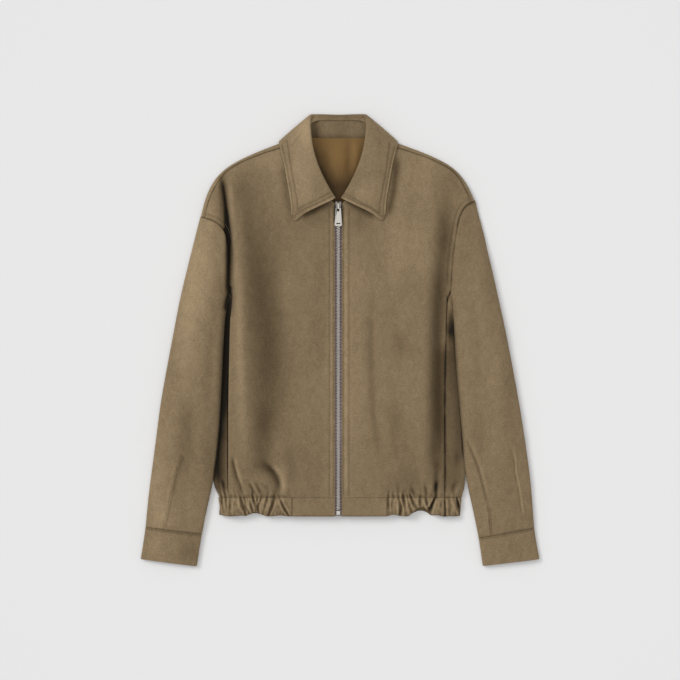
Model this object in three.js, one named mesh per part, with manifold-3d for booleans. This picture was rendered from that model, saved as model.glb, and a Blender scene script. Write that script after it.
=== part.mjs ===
// Suede blouson jacket, zipped up and laid on its back: spread collar, gathered hem, long sleeves.
// x runs across from the zip, y up the jacket from the hem's edge and z up off the table.
// Right and left are the wearer's, so the right side lies at negative x. All sizes are millimetres.
import * as THREE from 'three';
import Module from 'manifold-3d';
import { mergeVertices } from 'three/addons/utils/BufferGeometryUtils.js';

// Cloth
const SUEDE_WALL = 2.0;
const COLLAR_WALL = 2.6;
const LINING_WALL = 1.2;
const TAPE_WALL = 0.9;
const SEAM_GAP = 0.35;

// Heights of the layers off the table
const FOLD_MIDDLE = 7.5;
const FOLD_REACH = 26;
const EDGE_TURN = 8;
const BACK_LIFT = COLLAR_WALL + 0.8;
const LINING_TOP = BACK_LIFT + SUEDE_WALL + 0.3 + LINING_WALL;
const CROTCH_FADE = 45;
const ROLL_RADIUS = 3.6;
const LINING = { bottom: 522, top: 659.8, bottomHalf: 46, topHalf: 50 };

// Levels up the body
const HEM_SEAM = 33;
const UNDERARM = 383;
const NECK_FRONT = 548;

// Front opening
const FRONT_EDGE = 6.2;
const TAB_END = { right: 80.5, left: 84.9 };

const BODY_HEIGHT = [
  { y: 0, z: 17 },
  { y: 33, z: 19.5 },
  { y: 70, z: 23.5 },
  { y: 140, z: 25 },
  { y: 300, z: 24 },
  { y: 450, z: 22 },
  { y: 560, z: 19.5 },
  { y: 670, z: 15 },
];

// Side folds, where the back turns forward, and the side seams on the front face
const SIDES = [
  { y: 0, rightFold: -208.2, rightSeam: -191.5, leftFold: 212.8, leftSeam: 185.5 },
  { y: 33, rightFold: -209.8, rightSeam: -191.6, leftFold: 215.8, leftSeam: 185.5 },
  { y: 44, rightFold: -213.2, rightSeam: -191.7, leftFold: 219, leftSeam: 185.5 },
  { y: 58, rightFold: -217, rightSeam: -191.8, leftFold: 221.8, leftSeam: 185.5 },
  { y: 98, rightFold: -211.2, rightSeam: -191.6, leftFold: 217.6, leftSeam: 185.5 },
  { y: 133, rightFold: -207.2, rightSeam: -191.6, leftFold: 214.8, leftSeam: 185.5 },
  { y: 203, rightFold: -203.5, rightSeam: -191.4, leftFold: 208, leftSeam: 185.5 },
  { y: 290, rightFold: -199.3, rightSeam: -189.8, leftFold: 201.2, leftSeam: 187 },
  { y: 343, rightFold: -196.4, rightSeam: -188.4, leftFold: 198.8, leftSeam: 188.6 },
  { y: 370, rightFold: -193.2, rightSeam: -186.4, leftFold: 196.6, leftSeam: 189.8 },
  { y: 383, rightFold: -190.4, rightSeam: -184.6, leftFold: 195.6, leftSeam: 190 },
];

// Sleeve edges as they lie beside the body
const SLEEVE_EDGES = [
  { y: -88, rightOuter: -348.6, rightInner: -247.1, leftOuter: 354.3, leftInner: 252.2 },
  { y: -75, rightOuter: -346.5, rightInner: -245.1, leftOuter: 352.3, leftInner: 250.5 },
  { y: -25, rightOuter: -338.6, rightInner: -236.9, leftOuter: 343.8, leftInner: 242.4 },
  { y: 28, rightOuter: -333.4, rightInner: -225.6, leftOuter: 339.7, leftInner: 231 },
  { y: 58, rightOuter: -329.8, rightInner: -218.8, leftOuter: 337.2, leftInner: 224.2 },
  { y: 98, rightOuter: -324.5, rightInner: -212.6, leftOuter: 332, leftInner: 219.2 },
  { y: 133, rightOuter: -319.8, rightInner: -208.6, leftOuter: 327.2, leftInner: 216.6 },
  { y: 203, rightOuter: -310.6, rightInner: -204.8, leftOuter: 315.9, leftInner: 209.6 },
  { y: 290, rightOuter: -294.6, rightInner: -200.6, leftOuter: 299.9, leftInner: 202.6 },
  { y: 343, rightOuter: -284.7, rightInner: -197.8, leftOuter: 289.2, leftInner: 200.4 },
  { y: 383, rightOuter: -277.1, rightInner: -192, leftOuter: 280.4, leftInner: 197.6 },
  { y: 453, rightOuter: -259.9, rightInner: -192, leftOuter: 264.7, leftInner: 197.6 },
  { y: 497, rightOuter: -249.4, rightInner: -192, leftOuter: 253.6, leftInner: 197.6 },
  { y: 523, rightOuter: -240.6, rightInner: -192, leftOuter: 246.6, leftInner: 197.6 },
  { y: 551, rightOuter: -236, rightInner: -192, leftOuter: 238.9, leftInner: 197.6 },
];

// Curves read from the shoulder tip or the neck outward, as [x, y]
const SIDE_CURVES = {
  right: {
    sign: -1,
    tip: [-240.6, 523.2],
    armhole: [[-228.4, 520.6], [-216.1, 515.4], [-205.6, 508.4], [-196.5, 496], [-192.5, 468], [-191, 430], [-190.5, 402]],
    shoulder: [[-78, 664], [-102.4, 650.6], [-137.4, 639.6], [-172.4, 623], [-189.9, 614.2], [-203.9, 604.6],
      [-216.1, 591.5], [-228.4, 568.8], [-235.4, 549.5], [-240.6, 523.2]],
    shoulderSeam: [[-74, 650], [-100.6, 643], [-137.4, 631.5], [-172.4, 617], [-189.9, 607], [-205, 594],
      [-222, 562], [-230, 540], [-234, 522.4]],
    neckline: [[-74, 650], [-72, 632], [-64, 606], [-50, 582], [-30, 561], [-6.5, 548]],
    sleeveFrom: { outer: 523.2, inner: 383 },
    sleeveTo: { outer: -19.2, inner: -31.5 },
    cuffTo: { outer: -75.2, inner: -88 },
  },
  left: {
    sign: 1,
    tip: [238.9, 551.2],
    armhole: [[230.1, 548.6], [219.6, 540.8], [212.6, 528.5], [207.4, 509.2], [203, 483], [198.6, 448], [196.6, 420], [196.2, 402]],
    shoulder: [[78, 664], [105, 650], [125.1, 645.2], [160.1, 631.4], [195.1, 614.2], [209.1, 605.5],
      [217.9, 591.5], [230.1, 572.2], [238.9, 551.2]],
    shoulderSeam: [[74, 650], [105.9, 642.5], [125.1, 636.5], [160.1, 624.6], [195.1, 607.6], [209, 594],
      [222, 571], [233, 549.8]],
    neckline: [[74, 650], [72, 632], [64, 606], [50, 582], [30, 561], [6.5, 548]],
    sleeveFrom: { outer: 551.2, inner: 383 },
    sleeveTo: { outer: -21, inner: -38.5 },
    cuffTo: { outer: -75.2, inner: -87.5 },
  },
};

// Folds pressed into the cloth from one end to the other: rise above zero is a ridge, below is a trough
const BODY_FOLDS = [
  { name: 'right armhole fold, upper', x1: -202, y1: 604, x2: -196, y2: 505, width: 7, rise: -6 },
  { name: 'right armhole fold, middle', x1: -196, y1: 505, x2: -193.5, y2: 400, width: 8, rise: -8 },
  { name: 'right front roll', x1: -176, y1: 585, x2: -172, y2: 330, width: 14, rise: 3.5 },
  { name: 'right front roll, lower', x1: -172, y1: 330, x2: -171, y2: 90, width: 13, rise: 3 },
  { name: 'right chest valley', x1: -160, y1: 585, x2: -130, y2: 330, width: 20, rise: -3 },
  { name: 'right waist valley', x1: -130, y1: 330, x2: -126, y2: 130, width: 20, rise: -3 },
  { name: 'right centre swell', x1: -62, y1: 480, x2: -58, y2: 110, width: 26, rise: 2.4 },
  { name: 'right hem puff', x1: -96, y1: 100, x2: -92, y2: 34, width: 8, rise: 3 },
  { name: 'right hem crease, upper', x1: -136, y1: 96, x2: -108, y2: 70, width: 5, rise: -3 },
  { name: 'right hem crease, lower', x1: -108, y1: 70, x2: -108, y2: 36, width: 5, rise: -3 },
  { name: 'right side crease', x1: -187, y1: 96, x2: -166, y2: 34, width: 5, rise: -3.5 },
  { name: 'left shoulder hollow', x1: 178, y1: 600, x2: 184, y2: 455, width: 12, rise: -3.5 },
  { name: 'left side valley', x1: 177, y1: 455, x2: 175, y2: 250, width: 10, rise: -5 },
  { name: 'left side valley, lower', x1: 175, y1: 250, x2: 174, y2: 40, width: 9, rise: -4.5 },
  { name: 'left chest swell', x1: 102, y1: 600, x2: 98, y2: 490, width: 18, rise: 2.4 },
  { name: 'left flank swell', x1: 146, y1: 470, x2: 143, y2: 120, width: 16, rise: 2.2 },
  { name: 'left centre valley', x1: 58, y1: 470, x2: 54, y2: 90, width: 11, rise: -1.6 },
  { name: 'left waist dimple', x1: 110, y1: 312, x2: 106, y2: 284, width: 16, rise: -2.2 },
  { name: 'left hip dimple', x1: 101, y1: 180, x2: 97, y2: 152, width: 15, rise: -2 },
  { name: 'left hem crease, inner', x1: 126, y1: 66, x2: 128, y2: 36, width: 5, rise: -2.6 },
  { name: 'left hem crease, middle', x1: 152, y1: 62, x2: 153, y2: 36, width: 5, rise: -2.8 },
  { name: 'left hem crease, outer', x1: 197, y1: 60, x2: 199, y2: 36, width: 5, rise: -2.6 },
];

const SLEEVE_FOLDS = [
  { name: 'right upper arm swell', x1: -240, y1: 480, x2: -262, y2: 330, width: 22, rise: 2 },
  { name: 'right forearm hollow', x1: -262, y1: 215, x2: -268, y2: 70, width: 15, rise: -3 },
  { name: 'right placket ridge, upper', x1: -272, y1: 104, x2: -290, y2: 58, width: 7, rise: 1.8 },
  { name: 'right placket ridge, lower', x1: -290, y1: 58, x2: -302, y2: -18, width: 7, rise: 1.8 },
  { name: 'left upper arm hollow', x1: 222, y1: 470, x2: 228, y2: 380, width: 12, rise: -2.4 },
  { name: 'left forearm ridge, upper', x1: 302, y1: 134, x2: 312, y2: 70, width: 8, rise: 1.8 },
  { name: 'left forearm ridge, lower', x1: 312, y1: 70, x2: 329, y2: -16, width: 8, rise: 1.8 },
  { name: 'left elbow hollow', x1: 228, y1: 126, x2: 250, y2: 44, width: 10, rise: -2.6 },
];

// Gathers in the elastic hem band: each drifts sideways on its way down, and lifts the lower edge
const HEM_GATHERS = [
  { x: -202, width: 3.6, depth: 2.2, drift: 0, lift: 3 },
  { x: -195, width: 3.2, depth: 1.8, drift: 0, lift: 0 },
  { x: -167, width: 4.2, depth: 3, drift: 3, lift: 1.2 },
  { x: -157, width: 3.6, depth: 2.2, drift: 2, lift: 0 },
  { x: -147, width: 4.4, depth: 3, drift: 0, lift: 3.6 },
  { x: -134, width: 4.2, depth: 2.6, drift: 0, lift: 1.6 },
  { x: -120, width: 4.4, depth: 2.8, drift: 0, lift: 0 },
  { x: -106, width: 4.4, depth: 2.8, drift: 4, lift: 1 },
  { x: 92, width: 3.6, depth: 2, drift: 1, lift: 1.6 },
  { x: 103, width: 4.2, depth: 3.2, drift: 1, lift: 0.6 },
  { x: 113, width: 4, depth: 3, drift: 2, lift: 0 },
  { x: 129, width: 4.6, depth: 3, drift: 6, lift: 5 },
  { x: 144, width: 4.6, depth: 3, drift: 2, lift: 9.5 },
  { x: 156, width: 4.2, depth: 2.6, drift: 1, lift: 3 },
  { x: 168, width: 4.6, depth: 3, drift: -6, lift: 2.4 },
  { x: 190, width: 4.4, depth: 3, drift: 2, lift: 0 },
  { x: 206, width: 4, depth: 2.2, drift: 3, lift: 0 },
];

// Thickness of each sleeve and cuff as it lies, from the armhole to the cuff's edge
const SLEEVE_HEIGHT = [
  { t: 0, z: 21 },
  { t: 0.25, z: 24 },
  { t: 0.55, z: 20 },
  { t: 0.85, z: 16 },
  { t: 1, z: 13.5 },
];
const CUFF_HEIGHT = 12.5;

// Collar from its front end, over the neck's side, to the middle of the back.
// roll is where the leaf turns over, edge its free edge and seam where it meets the stand.
const COLLAR = [
  { name: 'front end', rollX: 4.4, rollY: 555.6, rollZ: 27, edgeX: 75.2, edgeY: 521.6, edgeZ: 23.6, arch: 2 },
  { name: 'tip', rollX: 8.5, rollY: 561, rollZ: 28.4, edgeX: 79, edgeY: 528, edgeZ: 23.6, arch: 2.4 },
  { name: 'lower leaf', rollX: 24, rollY: 588, rollZ: 31, edgeX: 84, edgeY: 554.8, edgeZ: 23.6, arch: 2.8 },
  { name: 'mid leaf', rollX: 36, rollY: 616, rollZ: 32, edgeX: 89.8, edgeY: 588, edgeZ: 23.2, arch: 3 },
  { name: 'upper leaf', rollX: 43.4, rollY: 642.2, rollZ: 31.5, edgeX: 95, edgeY: 617.8, edgeZ: 22.6, arch: 3 },
  { name: 'over the seam', rollX: 47, rollY: 668.5, rollZ: 28.5, edgeX: 100.4, edgeY: 637, edgeZ: 20.8, arch: 2 },
  { name: 'over the shoulder', rollX: 48, rollY: 688, rollZ: 22.5, edgeX: 103.4, edgeY: 648.6, edgeZ: 16.4, arch: 2 },
  { name: 'neck side fold', rollX: 46.4, rollY: 699.6, rollZ: 13, edgeX: 103.8, edgeY: 657, edgeZ: 8.2, arch: 0.6 },
  { name: 'under the shoulder', rollX: 42.5, rollY: 702.6, rollZ: 7.6, edgeX: 99, edgeY: 650.4, edgeZ: 0.3, arch: 0 },
  { name: 'under the yoke', rollX: 35, rollY: 703.4, rollZ: 5.6, edgeX: 88, edgeY: 640, edgeZ: 0, arch: 0 },
  { name: 'back side', rollX: 20, rollY: 703, rollZ: 5, edgeX: 48, edgeY: 630.5, edgeZ: 0, arch: 0 },
  { name: 'middle of the back', rollX: 0, rollY: 702.4, rollZ: 5, edgeX: 0, edgeY: 628, edgeZ: 0, arch: 0 },
];

// Collar stand from its front end to the middle of the back: seam meets the collar, neck meets the body
const STAND = [
  { name: 'front end', seamX: 10, seamY: 553.4, seamZ: 23.8, neckX: 13, neckY: 551.4, neckZ: 20.6 },
  { name: 'lower leaf', seamX: 32, seamY: 583, seamZ: 25.4, neckX: 40, neckY: 576, neckZ: 20 },
  { name: 'mid leaf', seamX: 44, seamY: 612, seamZ: 26, neckX: 60, neckY: 605, neckZ: 19 },
  { name: 'upper leaf', seamX: 52, seamY: 640, seamZ: 25.4, neckX: 70, neckY: 634, neckZ: 17.6 },
  { name: 'over the seam', seamX: 54, seamY: 664, seamZ: 22.6, neckX: 71, neckY: 655, neckZ: 15.4 },
  { name: 'neck side', seamX: 50, seamY: 684, seamZ: 17.4, neckX: 62, neckY: 664, neckZ: 11.6 },
  { name: 'back side', seamX: 36, seamY: 691, seamZ: 11.6, neckX: 40, neckY: 661.4, neckZ: 7.6 },
  { name: 'back', seamX: 20, seamY: 691.3, seamZ: 10.6, neckX: 21, neckY: 660.9, neckZ: 7.2 },
  { name: 'middle of the back', seamX: 0, seamY: 691.3, seamZ: 10.5, neckX: 0, neckY: 660.7, neckZ: 7.2 },
];

// Zip: tapes under the front edges, the chain of teeth, slider and pull tab
const TAPE = { inner: 0.25, outer: 15, below: SUEDE_WALL + 0.35, from: 1, to: 546 };
const CHAIN = { width: 6.4, height: 2.2, from: 11, to: 533.2 };
const BOX = { width: 7.6, length: 8, height: 3, bottom: 2.4 };
const SLIDER = { bottom: 533.7, top: 549, waist: 4.4, shoulder: 6, height: 5.2 };
const CROWN = { width: 2.6, from: 534.4, to: 546.4, clear: 2.9, bar: 1.3, post: 1.5 };
const PULL = { pivotY: 537.3, pin: 1.05, top: 4.4, bottom: 6.5, end: 505.6, thick: 1.7, window: 1.85, reach: 5.9 };
const PULL_SLOT = { width: 7, height: 2, up: 3.6 };

// Levels up the side seams where front and back meet point for point
const SIDE_LEVELS = [33, 50, 70, 95, 128, 165, 203, 250, 300, 343, 368, 383];
const STEPS = {
  shoulder: 8, neckline: 5, wrap: 5, sleeveDown: 17, over: 11, bandSide: 27, collarAlong: 34, collarAcross: 7,
};

const COLOURS = {
  suede: 0x85745a, suedeInside: 0x6d5c42, lining: 0x7a6040, tape: 0x6d6064, teeth: 0x9e9a98, metal: 0xc9c6be,
};

const { clamp, lerp, smoothstep } = THREE.MathUtils;
const group = new THREE.Group();

// A smooth curve through one column of a table, read against its key
function reader(rows, key, column) {
  const slope = (i) => {
    const a = rows[Math.max(i - 1, 0)];
    const b = rows[Math.min(i + 1, rows.length - 1)];
    return (b[column] - a[column]) / (b[key] - a[key]);
  };
  return (at) => {
    let i = 0;
    while (i < rows.length - 2 && at > rows[i + 1][key]) i += 1;
    const span = rows[i + 1][key] - rows[i][key];
    const t = clamp((at - rows[i][key]) / span, 0, 1);
    const [t2, t3] = [t * t, t * t * t];
    return (2 * t3 - 3 * t2 + 1) * rows[i][column] + (t3 - 2 * t2 + t) * span * slope(i)
      + (3 * t2 - 2 * t3) * rows[i + 1][column] + (t3 - t2) * span * slope(i + 1);
  };
}

const pin = ([x, y]) => new THREE.Vector3(x, y, 0);

// Points evenly along a smooth curve through [x, y] points
const smooth = (points, count) => new THREE.CatmullRomCurve3(points.map(pin), false, 'centripetal').getSpacedPoints(count);

// A route straight from point to point, read by the share of its length
class Route {
  constructor(spots) {
    this.spots = spots;
    this.runs = [0];
    for (let i = 1; i < this.spots.length; i += 1) {
      this.runs.push(this.runs[i - 1] + this.spots[i].distanceTo(this.spots[i - 1]));
    }
    this.length = this.runs.at(-1);
    this.knots = this.runs.map((run) => run / this.length);
  }

  at(share) {
    const run = clamp(share, 0, 1) * this.length;
    let i = 0;
    while (i < this.runs.length - 2 && run > this.runs[i + 1]) i += 1;
    const span = this.runs[i + 1] - this.runs[i] || 1;
    return this.spots[i].clone().lerp(this.spots[i + 1], (run - this.runs[i]) / span);
  }

  // Unit vector square to the route, on its left hand for side 1 and on its right for side -1
  square(share, side) {
    const d = this.at(share + 0.01).sub(this.at(share - 0.01)).normalize();
    return new THREE.Vector3(-d.y * side, d.x * side, 0);
  }

  // Distance from a point to the nearest stretch
  distance(x, y) {
    const spot = new THREE.Vector3(x, y, 0);
    const near = new THREE.Vector3();
    return Math.min(...this.spots.slice(1).map((end, i) => new THREE.Line3(this.spots[i], end)
      .closestPointToPoint(spot, true, near).distanceTo(spot)));
  }
}

const bodyHeight = reader(BODY_HEIGHT, 'y', 'z');
const side = Object.fromEntries(['rightFold', 'rightSeam', 'leftFold', 'leftSeam']
  .map((column) => [column, reader(SIDES, 'y', column)]));
const sleeveEdge = Object.fromEntries(['rightOuter', 'rightInner', 'leftOuter', 'leftInner']
  .map((column) => [column, reader(SLEEVE_EDGES, 'y', column)]));
const sleeveHeight = reader(SLEEVE_HEIGHT, 't', 'z');
const byside = (make) => ({ right: make('right'), left: make('left') });

// Shares across a flattened tube, closer together toward its two edges
const OVER = Array.from({ length: STEPS.over + 1 }, (_, i) => (1 - Math.cos(Math.PI * i / STEPS.over)) / 2);

// Seams that neighbouring pieces share, point for point
const shoulderLine = byside((name) => new Route(smooth(SIDE_CURVES[name].shoulder, STEPS.shoulder)));
const armholeLine = byside((name) => {
  const { tip, armhole } = SIDE_CURVES[name];
  const curve = new Route(smooth([tip, ...armhole, [sleeveEdge[`${name}Inner`](UNDERARM), UNDERARM]], 80));
  return OVER.map((share) => curve.at(share));
});
const shoulderSeam = byside((name) => {
  const points = smooth(SIDE_CURVES[name].shoulderSeam, STEPS.shoulder);
  points[STEPS.shoulder] = armholeLine[name][1].clone().lerp(armholeLine[name][2], 0.6);
  return new Route(points);
});

const sideOf = (x) => (x < 0 ? 'right' : 'left');

function foldRise(folds, x, y) {
  return folds.reduce((sum, fold) => {
    const along = new THREE.Vector2(fold.x2 - fold.x1, fold.y2 - fold.y1);
    const length = along.length();
    along.divideScalar(length);
    const run = (x - fold.x1) * along.x + (y - fold.y1) * along.y;
    const off = (x - fold.x1) * along.y - (y - fold.y1) * along.x;
    const past = Math.max(0, -run, run - length);
    return sum + fold.rise * Math.exp(-((off / fold.width) ** 2) - (past / (fold.width * 1.5)) ** 2);
  }, 0);
}

function gatherRise(x, y) {
  const down = clamp((HEM_SEAM - y) / HEM_SEAM, 0, 1);
  return HEM_GATHERS.reduce((sum, gather) => {
    const off = (x - gather.x - gather.drift * down) / gather.width;
    return sum - gather.depth * (0.55 + 0.45 * down) * Math.exp(-off * off);
  }, 0);
}

function hemLift(x) {
  return HEM_GATHERS.reduce((sum, gather) => {
    const off = (x - gather.x - gather.drift) / (gather.width * 1.5);
    return sum + gather.lift * Math.exp(-off * off);
  }, 0);
}

// How far a rounded edge has risen at a distance in from its fold
const turn = (inset) => Math.sqrt(1 - (1 - clamp(inset / FOLD_REACH, 0, 1)) ** 2);

// Outer face of everything on the front of the body
function bodyTop(x, y) {
  const name = sideOf(x);
  const inset = Math.abs(side[`${name}Fold`](Math.min(y, UNDERARM)) - x);
  const open = smoothstep(y, UNDERARM, UNDERARM + CROTCH_FADE);
  const sideTurn = lerp(turn(inset), 1, open);
  const shoulderTurn = y > 480 ? turn(shoulderLine[name].distance(x, y)) : 1;
  const bandDip = -3 * Math.exp(-(((y - HEM_SEAM) / 9) ** 2)) * smoothstep(Math.abs(x), 78, 96);
  const form = bodyHeight(y) - FOLD_MIDDLE + foldRise(BODY_FOLDS, x, y) + bandDip;
  return FOLD_MIDDLE + form * sideTurn * shoulderTurn;
}

// Lower face of the back: flat on the table but for where the collar lies under it
function bodyBottom(x, y) {
  return BACK_LIFT * (1 - smoothstep(Math.abs(x), 112, 130)) * smoothstep(y, 588, 612);
}

function addMesh(name, geometry, colour, roughness = 0.95, metalness = 0) {
  const material = new THREE.MeshStandardMaterial({ color: colour, roughness, metalness });
  const mesh = new THREE.Mesh(geometry, material);
  mesh.name = name;
  group.add(mesh);
  return mesh;
}

// Wall of cloth under a grid of outer points: rows run along it, and a tube's rows close on themselves.
// Its seam edges are cut upright, so that two pieces that meet keep their gap at any slope.
function clothWall(rows, wall, { tube = false, flip = 1 } = {}) {
  const [down, across] = [rows.length, rows[0].length];
  const wrap = (i) => (tube ? (i + across) % across : clamp(i, 0, across - 1));
  const outer = (j, i) => rows[clamp(j, 0, down - 1)][wrap(i)];
  const inner = rows.map((row, j) => row.map((spot, i) => {
    const alongRow = outer(j, i + 1).clone().sub(outer(j, i - 1));
    const alongColumn = outer(j + 1, i).clone().sub(outer(j - 1, i));
    const normal = alongRow.cross(alongColumn).normalize().multiplyScalar(flip);
    const edges = [];
    if (j === 0 || j === down - 1) edges.push(outer(j, i).clone().sub(outer(j === 0 ? 1 : down - 2, i)));
    if (!tube && (i === 0 || i === across - 1)) edges.push(outer(j, i).clone().sub(outer(j, i === 0 ? 1 : across - 2)));
    const square = normal.clone();
    edges.forEach((edge) => {
      edge.z = 0;
      if (edge.lengthSq() > 1e-6) square.addScaledVector(edge.normalize(), -square.dot(edge));
    });
    const share = square.lengthSq();
    if (share < 0.3) return spot.clone().addScaledVector(normal, -wall);
    return spot.clone().addScaledVector(square, -wall / share);
  }));
  const positions = [...rows.flat(), ...inner.flat()].flatMap((p) => [p.x, p.y, p.z]);
  const faces = [];
  const quad = (a, b, c, d) => faces.push(a, b, c, a, c, d);
  const top = (j, i) => j * across + wrap(i);
  const low = (j, i) => down * across + top(j, i);
  const last = tube ? across : across - 1;
  for (let j = 0; j < down - 1; j += 1) {
    for (let i = 0; i < last; i += 1) {
      quad(top(j, i), top(j, i + 1), top(j + 1, i + 1), top(j + 1, i));
      quad(low(j, i), low(j + 1, i), low(j + 1, i + 1), low(j, i + 1));
    }
  }
  for (let i = 0; i < last; i += 1) {
    quad(top(0, i), low(0, i), low(0, i + 1), top(0, i + 1));
    quad(top(down - 1, i), top(down - 1, i + 1), low(down - 1, i + 1), low(down - 1, i));
  }
  if (!tube) {
    for (let j = 0; j < down - 1; j += 1) {
      quad(top(j, 0), top(j + 1, 0), low(j + 1, 0), low(j, 0));
      quad(top(j, last), low(j, last), low(j + 1, last), top(j + 1, last));
    }
  }
  return outward(positions, faces);
}

// Turns a closed mesh's faces outward
function outward(positions, faces) {
  const spot = (i) => new THREE.Vector3().fromArray(positions, i * 3);
  let volume = 0;
  for (let i = 0; i < faces.length; i += 3) {
    volume += spot(faces[i]).dot(spot(faces[i + 1]).cross(spot(faces[i + 2])));
  }
  const order = volume > 0 ? faces : faces.map((_, i) => faces[i - (i % 3) + [0, 2, 1][i % 3]]);
  const geometry = new THREE.BufferGeometry();
  geometry.setAttribute('position', new THREE.Float32BufferAttribute(positions, 3));
  geometry.setIndex(order);
  geometry.computeVertexNormals();
  return geometry;
}

// Point inside four boundary routes, blended from all of them
function blend(bottom, top, left, right, u, v) {
  const corners = [bottom.at(0), bottom.at(1), top.at(0), top.at(1)];
  return bottom.at(u).multiplyScalar(1 - v).addScaledVector(top.at(u), v)
    .addScaledVector(left.at(v), 1 - u).addScaledVector(right.at(v), u)
    .addScaledVector(corners[0], -(1 - u) * (1 - v)).addScaledVector(corners[1], -u * (1 - v))
    .addScaledVector(corners[2], -(1 - u) * v).addScaledVector(corners[3], -u * v);
}

const onto = (height) => (spot) => new THREE.Vector3(spot.x, spot.y, height(spot.x, spot.y));
const fractions = (count) => Array.from({ length: count + 1 }, (_, i) => i / count);

// Front panels, from the side seam and armhole to the zip, and from the hem band to the shoulder seam
function frontPanel(name) {
  const { sign, neckline } = SIDE_CURVES[name];
  const seam = SIDE_LEVELS.map((y) => pin([side[`${name}Seam`](y), y]));
  const armhole = armholeLine[name].slice(2, -2).reverse();
  const left = new Route([...seam, ...armhole, shoulderSeam[name].spots.at(-1)]);
  const top = new Route([...[...shoulderSeam[name].spots].reverse(), ...smooth(neckline, STEPS.neckline).slice(1)]);
  const bottom = new Route([seam[0], pin([sign * FRONT_EDGE, HEM_SEAM])]);
  const right = new Route([bottom.at(1), pin(neckline.at(-1))]);
  const rows = left.knots.map((v) => top.knots.map((u) => onto(bodyTop)(blend(bottom, top, left, right, u, v))));
  return clothWall(rows, SUEDE_WALL, { flip: -sign });
}

// One point across a turned edge: step 0 lies flat, step 2 is the fold itself and the last is the seam
function turned(frame, step) {
  const flat = onto(bodyBottom)(frame.spot.clone().addScaledVector(frame.inward, EDGE_TURN * (1 - step / STEPS.wrap)));
  if (!frame.seam || step === 0) return flat;
  if (step === 1) {
    const low = onto(bodyBottom)(frame.spot.clone().addScaledVector(frame.inward, EDGE_TURN * 0.28));
    return low.setZ(lerp(low.z, FOLD_MIDDLE, 0.3));
  }
  const spot = frame.spot.clone().lerp(frame.seam, (step - 2) / (STEPS.wrap - 2));
  return step === 2 ? spot.setZ(FOLD_MIDDLE) : onto(bodyTop)(spot);
}

// Frames across the back's edges: the line of the fold, the way in from it and, where it turns, its seam
function sideFrames(name) {
  const { sign } = SIDE_CURVES[name];
  const folded = SIDE_LEVELS.map((level, i) => {
    const y = i === 0 ? level + SEAM_GAP : level;
    const seam = pin([side[`${name}Seam`](y) + sign * SEAM_GAP, y]);
    return { spot: pin([side[`${name}Fold`](y), y]), seam, inward: pin([-sign, 0]) };
  });
  const arm = new Route(armholeLine[name].slice(1, -2).reverse());
  const first = { spot: arm.at(0).lerp(folded.at(-1).spot, 0.4), inward: pin([-sign, 0]) };
  return [...folded, first, ...arm.knots.map((share) => ({ spot: arm.at(share), inward: arm.square(share, sign) }))];
}

function shoulderFrame(name, share) {
  const { sign } = SIDE_CURVES[name];
  const seam = shoulderSeam[name];
  return {
    spot: shoulderLine[name].at(share),
    seam: seam.at(share).addScaledVector(seam.square(share, -sign), -SEAM_GAP),
    inward: shoulderLine[name].square(share, -sign),
  };
}

// Back panel: flat underneath, turned forward over the shoulders and, below the arms, round the sides
function backPanel() {
  const steps = Array.from({ length: STEPS.wrap }, (_, i) => i + 1);
  const inset = (frame) => frame.spot.clone().addScaledVector(frame.inward, EDGE_TURN);
  const edge = byside(sideFrames);
  const near = byside((name) => 1 - EDGE_TURN / shoulderLine[name].length);
  const shoulder = byside((name) => [...shoulderLine[name].knots.slice(0, -1), near[name]]
    .map((share) => shoulderFrame(name, share)));
  const neck = new Route(smooth([[-78, 664], [-47, 661], [0, 660.3], [47, 661], [78, 664]], 6));
  const neckFrames = neck.knots.slice(1, -1).map((share) => ({ spot: neck.at(share), inward: pin([0, -1]) }));
  const topFrames = [...[...shoulder.right].reverse(), ...neckFrames, ...shoulder.left];
  const topLine = new Route(topFrames.map(inset));
  const sideLine = byside((name) => new Route([...edge[name].slice(0, -1).map(inset), inset(shoulder[name].at(-1))]));
  const bottomLine = new Route([sideLine.right.at(0), sideLine.left.at(0)]);
  const levels = edge.right.length - 1;
  const share = (j) => lerp(sideLine.right.knots[j], sideLine.left.knots[j], 0.5);
  const core = (i, j) => {
    const u = topLine.knots[i];
    if (i === 0) return sideLine.right.spots[j].clone();
    if (i === topFrames.length - 1) return sideLine.left.spots[j].clone();
    if (j === levels) return topLine.spots[i].clone();
    return blend(bottomLine, topLine, sideLine.right, sideLine.left, u, share(j));
  };
  const corner = (name, sideStep, topStep) => {
    const reach = 1 - (1.5 + EDGE_TURN * (1 - sideStep / STEPS.wrap)) / shoulderLine[name].length;
    return turned(shoulderFrame(name, reach), topStep);
  };
  const edgeSpot = (name, j, step) => (j === levels ? corner(name, step, 0) : turned(edge[name][j], step));
  const rows = edge.right.map((_, j) => [
    ...[...steps].reverse().map((step) => edgeSpot('right', j, step)),
    ...topFrames.map((__, i) => onto(bodyBottom)(core(i, j))),
    ...steps.map((step) => edgeSpot('left', j, step)),
  ]);
  steps.forEach((topStep) => rows.push([
    ...[...steps].reverse().map((step) => corner('right', step, topStep)),
    ...topFrames.map((frame) => turned(frame, topStep)),
    ...steps.map((step) => corner('left', step, topStep)),
  ]));
  return clothWall(rows, SUEDE_WALL, { flip: -1 });
}

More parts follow.
